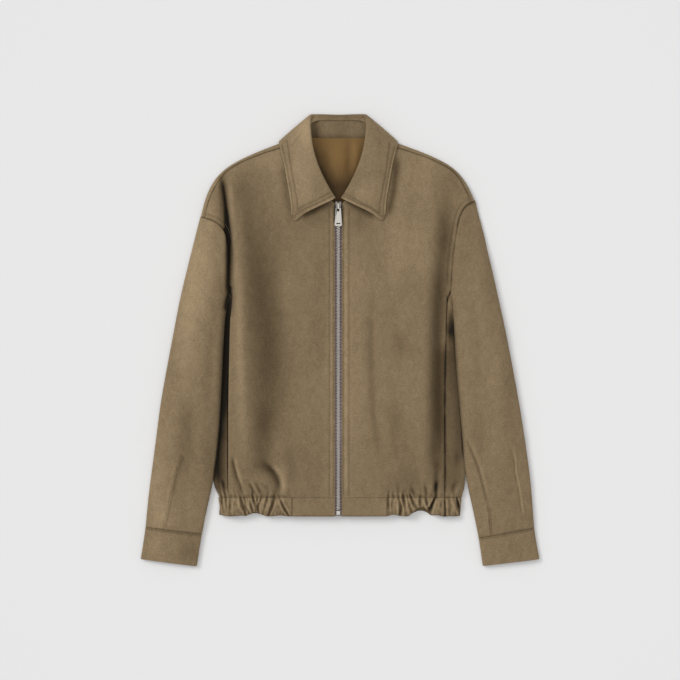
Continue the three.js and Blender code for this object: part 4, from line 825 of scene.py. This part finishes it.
def brushed_suede(settings):
    """Goat suede, buffed on the flesh side: matt, its short nap lighter and darker in patches, with
    painted shade and painted highlight along its folds.
    """
    made, tree, shader = fresh("brushed_suede")
    if tree is None:
        return made
    place = add(tree, "ShaderNodeTexCoord").outputs["Object"]
    # the nap was brushed down the garment, so its patches are longer than wide
    lie = add(tree, "ShaderNodeMapping", {"Vector": place, "Scale": (1.0, 0.6, 1.0)}).outputs[0]
    patches = add(tree, "ShaderNodeTexNoise", {
        "Vector": lie, "Scale": 1 / 0.075, "Detail": 4.0, "Roughness": 0.55,
            "Distortion": 0.3}).outputs["Fac"]
    smudges = add(tree, "ShaderNodeTexNoise", {
        "Vector": lie, "Scale": 1 / 0.010, "Detail": 5.0, "Roughness": 0.66,
            "Distortion": 0.7}).outputs["Fac"]
    # single hairs are 0.1 mm, drawn 2.6 mm wide so that they show
    grain = add(tree, "ShaderNodeTexNoise", {
        "Vector": place, "Scale": 1 / 0.0026, "Detail": 4.0, "Roughness": 0.7}).outputs["Fac"]
    # the nap mark: the lie of the nap, with painted shade and painted highlight in it
    shade_and_nap = add(tree, "ShaderNodeAttribute", attribute_name="nap").outputs["Fac"]
    # where shade is painted, down in the folds, the patches show less
    gain = add(tree, "ShaderNodeMath", {0: shade_and_nap, 1: 2.7, 2: -0.35},
        operation="MULTIPLY_ADD").outputs[0]
    gain = add(tree, "ShaderNodeMath", {0: gain, 1: 0.1}, operation="MAXIMUM").outputs[0]
    tone = 0.0
    for source, share in ((patches, 0.22), (smudges, 0.42), (grain, 0.66)):
        centred = add(tree, "ShaderNodeMath", {0: source, 1: 0.5}, operation="SUBTRACT").outputs[0]
        tone = add(tree, "ShaderNodeMath", {0: centred, 1: share, 2: tone},
            operation="MULTIPLY_ADD").outputs[0]
    shade_and_nap_level = add(tree, "ShaderNodeMath", {0: shade_and_nap, 1: 2.0, 2: -0.5},
        operation="MULTIPLY_ADD").outputs[0]
    tone = add(tree, "ShaderNodeMath", {0: tone, 1: gain, 2: shade_and_nap_level},
        operation="MULTIPLY_ADD").outputs[0]
    # the lowest fifth of the ramp, near black, is painted shadow for the deepest folds
    level = add(tree, "ShaderNodeMath", {0: tone, 1: 0.8, 2: 0.2},
        operation="MULTIPLY_ADD").outputs[0]
    ramp = add(tree, "ShaderNodeValToRGB", {"Fac": level})
    ramp.color_ramp.elements[0].color = (*linear("#120E09"), 1.0)
    ramp.color_ramp.elements[1].color = (*settings.suede_light, 1.0)
    ramp.color_ramp.elements.new(0.2).color = (*settings.suede_dark, 1.0)
    colour = ramp.outputs["Color"]
    soft = add(tree, "ShaderNodeBump", {"Height": smudges, "Strength": 0.35, "Distance": 1.2 * MM})
    fine = add(tree, "ShaderNodeBump", {
        "Height": grain, "Strength": 0.35, "Distance": 0.5 * MM, "Normal": soft.outputs[0]})
    tree.links.new(colour, shader.inputs["Base Color"])
    tree.links.new(fine.outputs[0], shader.inputs["Normal"])
    shader.inputs["Roughness"].default_value = 0.92
    shader.inputs["Specular IOR Level"].default_value = 0.18
    shader.inputs["Sheen Weight"].default_value = 0.25
    shader.inputs["Sheen Roughness"].default_value = 0.55
    shader.inputs["Sheen Tint"].default_value = (*linear("#D8C3A0"), 1.0)
    return made


def lining_satin():
    """Viscose satin, warp-faced: smooth, with a low shine of its own; lighter and darker down its
    folds by painted highlight and painted shade, and darker low in the neck by painted shade.
    """
    made, tree, shader = fresh("golden_satin")
    if tree is None:
        return made
    place = add(tree, "ShaderNodeTexCoord").outputs["Object"]
    # floats of the warp, 0.25 mm apart, drawn 1 mm apart so that they show
    warp = add(tree, "ShaderNodeMapping", {
        "Vector": place, "Scale": (1000.0, 60.0, 1.0)}).outputs[0]
    thread = add(tree, "ShaderNodeTexNoise", {
        "Vector": warp, "Scale": 1.0, "Detail": 2.0}).outputs["Fac"]
    cloudy = add(tree, "ShaderNodeTexNoise", {
        "Vector": place, "Scale": 1 / 0.05, "Detail": 2.0}).outputs["Fac"]
    # the nap mark here is painted shade and painted highlight: darker low in the neck and in its
    # folds' troughs
    lie = add(tree, "ShaderNodeAttribute", attribute_name="nap").outputs["Fac"]
    tone = add(tree, "ShaderNodeMath", {0: thread, 1: 0.25, 2: lie},
        operation="MULTIPLY_ADD").outputs[0]
    both = add(tree, "ShaderNodeMath", {0: cloudy, 1: 0.25, 2: tone},
        operation="MULTIPLY_ADD").outputs[0]
    colour = add(tree, "ShaderNodeMix", {
        0: both, 6: (*linear("#1B0F04"), 1.0), 7: (*linear("#8A6B40"), 1.0)},
        data_type="RGBA", clamp_factor=True).outputs[2]
    bump = add(tree, "ShaderNodeBump", {"Height": thread, "Strength": 0.15, "Distance": 0.2 * MM})
    tree.links.new(colour, shader.inputs["Base Color"])
    tree.links.new(bump.outputs[0], shader.inputs["Normal"])
    shader.inputs["Roughness"].default_value = 0.58
    shader.inputs["Specular IOR Level"].default_value = 0.10
    return made


def woven_tape():
    """Polyester zip tape, woven: matt, with a herringbone too fine to see as more than a grain."""
    made, tree, shader = fresh("woven_tape")
    if tree is None:
        return made
    place = add(tree, "ShaderNodeTexCoord").outputs["Object"]
    ribs = add(tree, "ShaderNodeTexWave", {"Vector": place, "Scale": 1 / (20 * 1.0 * MM),
        "Distortion": 0.4},
               bands_direction="Y").outputs["Fac"]
    woven = add(tree, "ShaderNodeMix", {
        0: ribs, 6: (*linear("#665A5A"), 1.0), 7: (*linear("#85787A"), 1.0)},
            data_type="RGBA").outputs[2]
    # the nap mark here is painted shadow: the tape near black where the slider and pull tab shade
    # it
    lie = add(tree, "ShaderNodeAttribute", attribute_name="nap").outputs["Fac"]
    unshaded_share = add(tree, "ShaderNodeMath", {0: lie, 1: 2.0}, operation="MULTIPLY").outputs[0]
    colour = add(tree, "ShaderNodeMix", {
        0: unshaded_share, 6: (*linear("#1B1614"), 1.0), 7: woven},
            data_type="RGBA", clamp_factor=True).outputs[2]
    bump = add(tree, "ShaderNodeBump", {"Height": ribs, "Strength": 0.4, "Distance": 0.3 * MM})
    tree.links.new(colour, shader.inputs["Base Color"])
    tree.links.new(bump.outputs[0], shader.inputs["Normal"])
    shader.inputs["Roughness"].default_value = 0.85
    return made


def nickel(name, code, rough):
    """Nickel plate on a brass or zinc casting: a little dulled and warm, with fine marks."""
    made, tree, shader = fresh(name)
    if tree is None:
        return made
    place = add(tree, "ShaderNodeTexCoord").outputs["Object"]
    marks = add(tree, "ShaderNodeTexNoise", {
        "Vector": place, "Scale": 1 / (1.4 * MM), "Detail": 3.0}).outputs["Fac"]
    gloss = add(tree, "ShaderNodeMapRange", {
        "Value": marks, "To Min": rough * 0.9, "To Max": rough * 1.12}).outputs[0]
    bright = add(tree, "ShaderNodeMix", {
        0: marks, 6: (*[c * 0.94 for c in linear(code)], 1.0), 7: (*linear(code), 1.0)},
        data_type="RGBA").outputs[2]
    # painted shade down in the recesses and under the pull tab
    recess = add(tree, "ShaderNodeAttribute", attribute_name="recess").outputs["Fac"]
    colour = add(tree, "ShaderNodeMix", {
        0: recess, 6: bright, 7: (*linear("#17130F"), 1.0)}, data_type="RGBA").outputs[2]
    tree.links.new(colour, shader.inputs["Base Color"])
    tree.links.new(gloss, shader.inputs["Roughness"])
    shader.inputs["Metallic"].default_value = 1.0
    return made


def sewing_thread():
    """Corespun polyester thread: two plies, a shade darker than the suede, with a low shine."""
    made, tree, shader = fresh("sewing_thread")
    if tree is None:
        return made
    place = add(tree, "ShaderNodeTexCoord").outputs["Object"]
    plies = add(tree, "ShaderNodeTexNoise", {
        "Vector": place, "Scale": 1 / (0.6 * MM)}).outputs["Fac"]
    colour = add(tree, "ShaderNodeMix", {
        0: plies, 6: (*linear("#5A4830"), 1.0), 7: (*linear("#8B7656"), 1.0)},
            data_type="RGBA").outputs[2]
    tree.links.new(colour, shader.inputs["Base Color"])
    shader.inputs["Roughness"].default_value = 0.6
    return made


# ---------------------------------------------------------------- stitches
def offset_path(path, off, start, end, spacing=1.5):
    """A row of points along a path, off to one side of it, from one share of it to another."""
    line = smoothed(path) if off else np.array(path, float)
    legs = line[1:] - line[:-1]
    lengths = np.hypot(legs[:, 0], legs[:, 1])
    along = np.concatenate([[0], np.cumsum(lengths)])
    count = max(2, int((end - start) * along[-1] / spacing))
    stops = np.linspace(start, end, count) * along[-1]
    row = np.stack([np.interp(stops, along, line[:, k]) for k in (0, 1)], axis=1)
    if off:
        run = np.gradient(row, axis=0)
        run /= np.hypot(run[:, 0], run[:, 1])[:, None]
        row = row + off * np.stack([-run[:, 1], run[:, 0]], axis=1)
    return row


def stitch_shape(sides=5):
    """One stitch along x, from 0 to 1, as rings of unit radius and the faces between them."""
    rings = [(0.0, 0.30, -0.75), (0.22, 1.0, 0.0), (0.78, 1.0, 0.0), (1.0, 0.30, -0.75)]
    points = [
        (t, wide * math.cos(k * math.tau / sides), drop + wide * math.sin(k * math.tau / sides))
        for t, wide, drop in rings for k in range(sides)
    ]
    faces = []
    for r in range(3):
        for k in range(sides):
            low, high = r * sides, (r + 1) * sides
            onward = (k + 1) % sides
            faces.append((low + k, low + onward, high + onward, high + k))
    faces += [tuple(range(sides))[::-1], tuple(range(3 * sides, 4 * sides))]
    return np.array(points), [f[::-1] for f in faces]


def marked_recess_shade(piece, share):
    """Marks painted shade on each point of a metal piece, from its place in mm: down in its
    recesses, or under the pull tab.
    """
    places = np.array([v.co[:] for v in piece.data.vertices]) / MM
    marked(piece, "recess", share(places - np.array([ZIP_MIDDLE_X, HEM_Y, 0])))


class JacketSettings(bpy.types.PropertyGroup):
    # the suede's ramp runs between these by the nap's tone and by painted shade and painted
    # highlight
    suede_dark: bpy.props.FloatVectorProperty(
        name="Suede, dark", description="The nap lying towards the eye", subtype="COLOR",
        size=3, default=linear("#4A3C28"))
    suede_light: bpy.props.FloatVectorProperty(
        name="Suede, light", description="The nap lying away from the eye", subtype="COLOR",
        size=3, default=linear("#A48E6E"))
    stitch_pitch: bpy.props.FloatProperty(
        name="Stitch pitch", description="From one stitch to the next",
        unit="LENGTH", default=3.6 * MM)
    stitch_length: bpy.props.FloatProperty(
        name="Stitch length", description="What shows of one stitch",
        unit="LENGTH", default=2.7 * MM)
    thread_width: bpy.props.FloatProperty(
        name="Thread width", description="The thread's diameter", unit="LENGTH", default=0.7 * MM)
    lens: bpy.props.FloatProperty(
        name="Lens", description="The camera's focal length in millimetres", default=85.0)
    view_width: bpy.props.FloatProperty(
        name="View width", description="What the view spans across the garment",
        unit="LENGTH", default=1.19)
    key_strength: bpy.props.FloatProperty(
        name="Key light", description="Strength of the light from the upper left", default=1.12)
    paper: bpy.props.FloatVectorProperty(
        name="Paper", description="The background the jacket lies on", subtype="COLOR",
        size=3, default=linear("#EBEBEB"))


class JACKET_OT_stage(bpy.types.Operator):
    """Pale paper, soft light from the upper left and a camera straight above"""
    bl_idname = "jacket.stage"
    bl_label = "Stage"

    def execute(self, context):
        settings = context.scene.suede_jacket
        eye = bpy.data.cameras.new("camera")
        eye.lens, eye.sensor_width = settings.lens, 36.0
        eye.clip_end = 20
        camera = bpy.data.objects.new("camera", eye)
        camera.location = (0, 0, settings.view_width * settings.lens / eye.sensor_width + 0.006)
        context.collection.objects.link(camera)
        context.scene.camera = camera

        bpy.ops.mesh.primitive_plane_add(size=9, location=(0, 0, -0.4 * MM))
        floor = context.active_object
        floor.name = "floor"
        made, tree, shader = fresh("matt_paper")
        place = add(tree, "ShaderNodeTexCoord").outputs["Object"]
        fibre = add(tree, "ShaderNodeTexNoise", {
            "Vector": place, "Scale": 1 / 0.004}).outputs["Fac"]
        bump = add(tree, "ShaderNodeBump", {
            "Height": fibre, "Strength": 0.03, "Distance": 0.1 * MM})
        tree.links.new(bump.outputs[0], shader.inputs["Normal"])
        shader.inputs["Base Color"].default_value = (*settings.paper, 1.0)
        shader.inputs["Roughness"].default_value = 0.95
        shader.inputs["Specular IOR Level"].default_value = 0.0
        floor.data.materials.append(made)

        key = bpy.data.lights.new("key", "SUN")
        key.energy, key.angle = settings.key_strength, math.radians(24)
        overhead = bpy.data.lights.new("overhead", "AREA")
        overhead.shape, overhead.size, overhead.energy = "DISK", 4.0, 64.0
        for lamp, place in ((key, (-2.0, 1.5, 2.35)), (overhead, (0.0, 0.0, 4.2))):
            holder = bpy.data.objects.new(lamp.name, lamp)
            holder.location = place
            holder.rotation_euler = (-Vector(place)).to_track_quat("-Z", "Y").to_euler()
            context.collection.objects.link(holder)
        world = bpy.data.worlds.new("studio")
        world.use_nodes = True
        world.node_tree.nodes["Background"].inputs["Color"].default_value = (1.0, 1.0, 1.0, 1.0)
        world.node_tree.nodes["Background"].inputs["Strength"].default_value = 0.435
        context.scene.world = world
        context.scene.view_settings.view_transform = "Standard"
        return {"FINISHED"}


class SuedeGroup:
    """What the steps for suede have in common: each makes the rows of its group."""

    def execute(self, context):
        cut_and_laid(self.group, brushed_suede(context.scene.suede_jacket))
        return {"FINISHED"}


class JACKET_OT_fronts(SuedeGroup, bpy.types.Operator):
    """The two fronts, with their slow folds and the puff above the hem"""
    bl_idname = "jacket.fronts"
    bl_label = "Fronts"
    group = "fronts"


class JACKET_OT_sleeves(SuedeGroup, bpy.types.Operator):
    """The two sleeves, each a tube pressed flat, with its placket"""
    bl_idname = "jacket.sleeves"
    bl_label = "Sleeves"
    group = "sleeves"


class JACKET_OT_cuffs(SuedeGroup, bpy.types.Operator):
    """The two cuffs"""
    bl_idname = "jacket.cuffs"
    bl_label = "Cuffs"
    group = "cuffs"


class JACKET_OT_back(SuedeGroup, bpy.types.Operator):
    """The back, which turns forward at the sides and over the shoulders"""
    bl_idname = "jacket.back"
    bl_label = "Back"
    group = "back"


class JACKET_OT_hem(SuedeGroup, bpy.types.Operator):
    """The gathered hem band and the plain tabs at its two ends"""
    bl_idname = "jacket.hem"
    bl_label = "Hem band"
    group = "hem"


class JACKET_OT_collar(SuedeGroup, bpy.types.Operator):
    """The collar's leaf and the stand inside it"""
    bl_idname = "jacket.collar"
    bl_label = "Collar"
    group = "collar"


class JACKET_OT_lining(bpy.types.Operator):
    """The lining that shows inside the neck"""
    bl_idname = "jacket.lining"
    bl_label = "Lining"

    def execute(self, context):
        piece = cloth("satin_lining_back", "lining_back", 3, -9, -8)
        dressed(piece, "lining_back", lining_satin())
        return {"FINISHED"}


class JACKET_OT_zip_chain(bpy.types.Operator):
    """The zip's two tapes, its meshed teeth and the box at its foot"""
    bl_idname = "jacket.zip_chain"
    bl_label = "Zip tapes and teeth"

    def execute(self, context):
        for side in ("right", "left"):
            piece = cloth("zip_tape_" + side + "_woven", "zip_tape_" + side, 2, -9, -8)
            dressed(piece, "zip_tape_" + side, woven_tape())

        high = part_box("zip_chain")[1]
        bpy.ops.object.select_all(action="DESELECT")
        bpy.ops.mesh.primitive_cube_add(size=1, location=(0, 0, 0))
        tooth = context.active_object
        tooth.scale = (3.5 * MM, 1.55 * MM, 2.6 * MM)
        bpy.ops.object.transform_apply(scale=True)
        bevel = tooth.modifiers.new("edges", "BEVEL")
        bevel.width, bevel.segments = 0.45 * MM, 1
        apply_modifiers(tooth)
        shape = np.array([v.co[:] for v in tooth.data.vertices])
        faces = [list(p.vertices) for p in tooth.data.polygons]
        bpy.data.objects.remove(tooth)
        count = int((CHAIN_HEAD - CHAIN_FOOT) / TOOTH_PITCH * 2)
        level = high.z - 1.7 * MM
        points, polygons = [], []
        for k in range(count):
            side = 1 if k % 2 else -1
            y = CHAIN_FOOT + k * TOOTH_PITCH / 2
            points.append(shape + np.array(at(side * 1.25, y)) + np.array([0, 0, level]))
            polygons += [[v + k * len(shape) for v in face] for face in faces]
        mesh = bpy.data.meshes.new("zip_teeth")
        mesh.from_pydata(np.vstack(points).tolist(), [], polygons)
        teeth = linked("zip_teeth", mesh)
        only(teeth)
        bpy.ops.object.shade_smooth_by_angle(angle=math.radians(30))
        # painted shadow of the pull tab on the teeth under it
        low_y, high_y, dark = SHADED_CHAIN
        marked_recess_shade(teeth, lambda at_: dark * ((at_[:, 1] > low_y) & (at_[:, 1] < high_y)))
        dressed(teeth, "zip_chain", nickel("nickel_teeth", "#BDB8B2", 0.38))

        mesh, work = copied("zip_box", "zip_box_cast")
        work.to_mesh(mesh)
        work.free()
        foot = linked("zip_box_cast", mesh)
        bevel = foot.modifiers.new("edges", "BEVEL")
        bevel.width, bevel.segments = 0.5 * MM, 3
        apply_modifiers(foot)
        only(foot)
        bpy.ops.object.shade_smooth_by_angle(angle=math.radians(40))
        dressed(foot, "zip_box", nickel("nickel_casting", "#9C9993", 0.30))
        return {"FINISHED"}


class JACKET_OT_slider(bpy.types.Operator):
    """The zip's slider and the pull tab that hangs from it"""
    bl_idname = "jacket.slider"
    bl_label = "Slider and pull tab"

    def execute(self, context):
        metal = nickel("nickel_casting", "#9C9993", 0.30)
        for node, body, width in (("zip_slider", "jacket", 0.35),
                                  ("zip_pull_tab", "zip_pull", 0.3)):
            mesh, work = copied(node, node + "_cast")
            work.to_mesh(mesh)
            work.free()
            piece = linked(node + "_cast", mesh)
            bevel = piece.modifiers.new("edges", "BEVEL")
            bevel.limit_method, bevel.angle_limit = "ANGLE", math.radians(35)
            bevel.width, bevel.segments = width * MM, 3
            apply_modifiers(piece)
            only(piece)
            bpy.ops.object.shade_smooth_by_angle(angle=math.radians(40))
            # painted shade low on the slider's sides, and in the pull tab's slot
            if node == "zip_slider":
                marked_recess_shade(
                    piece, lambda at_: RECESS_DARK * (1 - step(at_[:, 2], RECESS_LOW, RECESS_HIGH)))
            else:
                marked_recess_shade(piece, lambda at_: (
                    (np.abs(at_[:, 0]) < 4) & (np.abs(at_[:, 1] - 510.2) < 1.5)
                    & (at_[:, 2] < 24.4)))
            dressed(piece, node, metal, body)
        return {"FINISHED"}


class JACKET_OT_stitches(bpy.types.Operator):
    """The rows of stitches, each stitch lying in its dimple on the suede"""
    bl_idname = "jacket.stitches"
    bl_label = "Stitches"

    def execute(self, context):
        settings = context.scene.suede_jacket
        shape, faces = stitch_shape()
        trees, points, polygons = {}, [], []
        for node, off, start, end, path in STITCH_ROWS:
            if node not in trees:
                trees[node] = surface_of("suede_" + node)
            row = offset_path(path, off, start, end, settings.stitch_pitch / MM)
            for here, onward in zip(row[:-1], row[1:]):
                share = settings.stitch_length / settings.stitch_pitch
                first = on_surface(trees[node], *here)
                last = on_surface(trees[node], *(here + (onward - here) * share))
                if first is None or last is None:
                    continue
                run = last - first
                across = Vector((-run.y, run.x, 0)).normalized()
                up = run.cross(across) * -1
                up = up.normalized() if up.z > 0 else -up.normalized()
                radius = settings.thread_width / 2
                basis = np.array([run[:], (across * radius)[:], (up * radius)[:]])
                polygons += [[v + len(points) * len(shape) for v in face] for face in faces]
                points.append(shape @ basis + np.array((first + up * radius * 0.55)[:]))
        if len(points) < 300:
            raise RuntimeError("too few stitches found their cloth")
        mesh = bpy.data.meshes.new("stitches")
        mesh.from_pydata(np.vstack(points).tolist(), [], polygons)
        piece = linked("stitches", mesh)
        only(piece)
        bpy.ops.object.shade_smooth_by_angle(angle=math.radians(60))
        piece.data.materials.append(sewing_thread())
        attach(piece, "jacket")
        return {"FINISHED"}


def surface_of(name):
    """A tree to find the cloth's height in."""
    return BVHTree.FromObject(bpy.data.objects[name], bpy.context.evaluated_depsgraph_get())


def on_surface(tree, x, y):
    """The topmost point of a piece at a place of the tables, or None."""
    hit = tree.ray_cast(at(x, y, 80), Vector((0, 0, -1)))
    return hit[0]


STEPS = (
    JACKET_OT_stage, JACKET_OT_back, JACKET_OT_fronts, JACKET_OT_sleeves, JACKET_OT_cuffs,
    JACKET_OT_hem, JACKET_OT_collar, JACKET_OT_lining, JACKET_OT_zip_chain, JACKET_OT_slider,
    JACKET_OT_stitches,
)


class JACKET_PT_panel(bpy.types.Panel):
    """Lists the steps that make the jacket, in order"""
    bl_idname = "JACKET_PT_panel"
    bl_label = "Suede jacket"
    bl_space_type = "VIEW_3D"
    bl_region_type = "UI"
    bl_category = "Jacket"

    def draw(self, context):
        for name in JacketSettings.__annotations__:
            self.layout.prop(context.scene.suede_jacket, name)
        for each in STEPS:
            self.layout.operator(each.bl_idname)


def register():
    for each in (JacketSettings, *STEPS, JACKET_PT_panel):
        bpy.utils.register_class(each)
    bpy.types.Scene.suede_jacket = bpy.props.PointerProperty(type=JacketSettings)


def unregister():
    del bpy.types.Scene.suede_jacket
    for each in reversed((JacketSettings, *STEPS, JACKET_PT_panel)):
        bpy.utils.unregister_class(each)


def main():
    register()
    for each in STEPS:
        group, name = each.bl_idname.split(".")
        getattr(getattr(bpy.ops, group), name)()


if __name__ == "__main__":
    main()
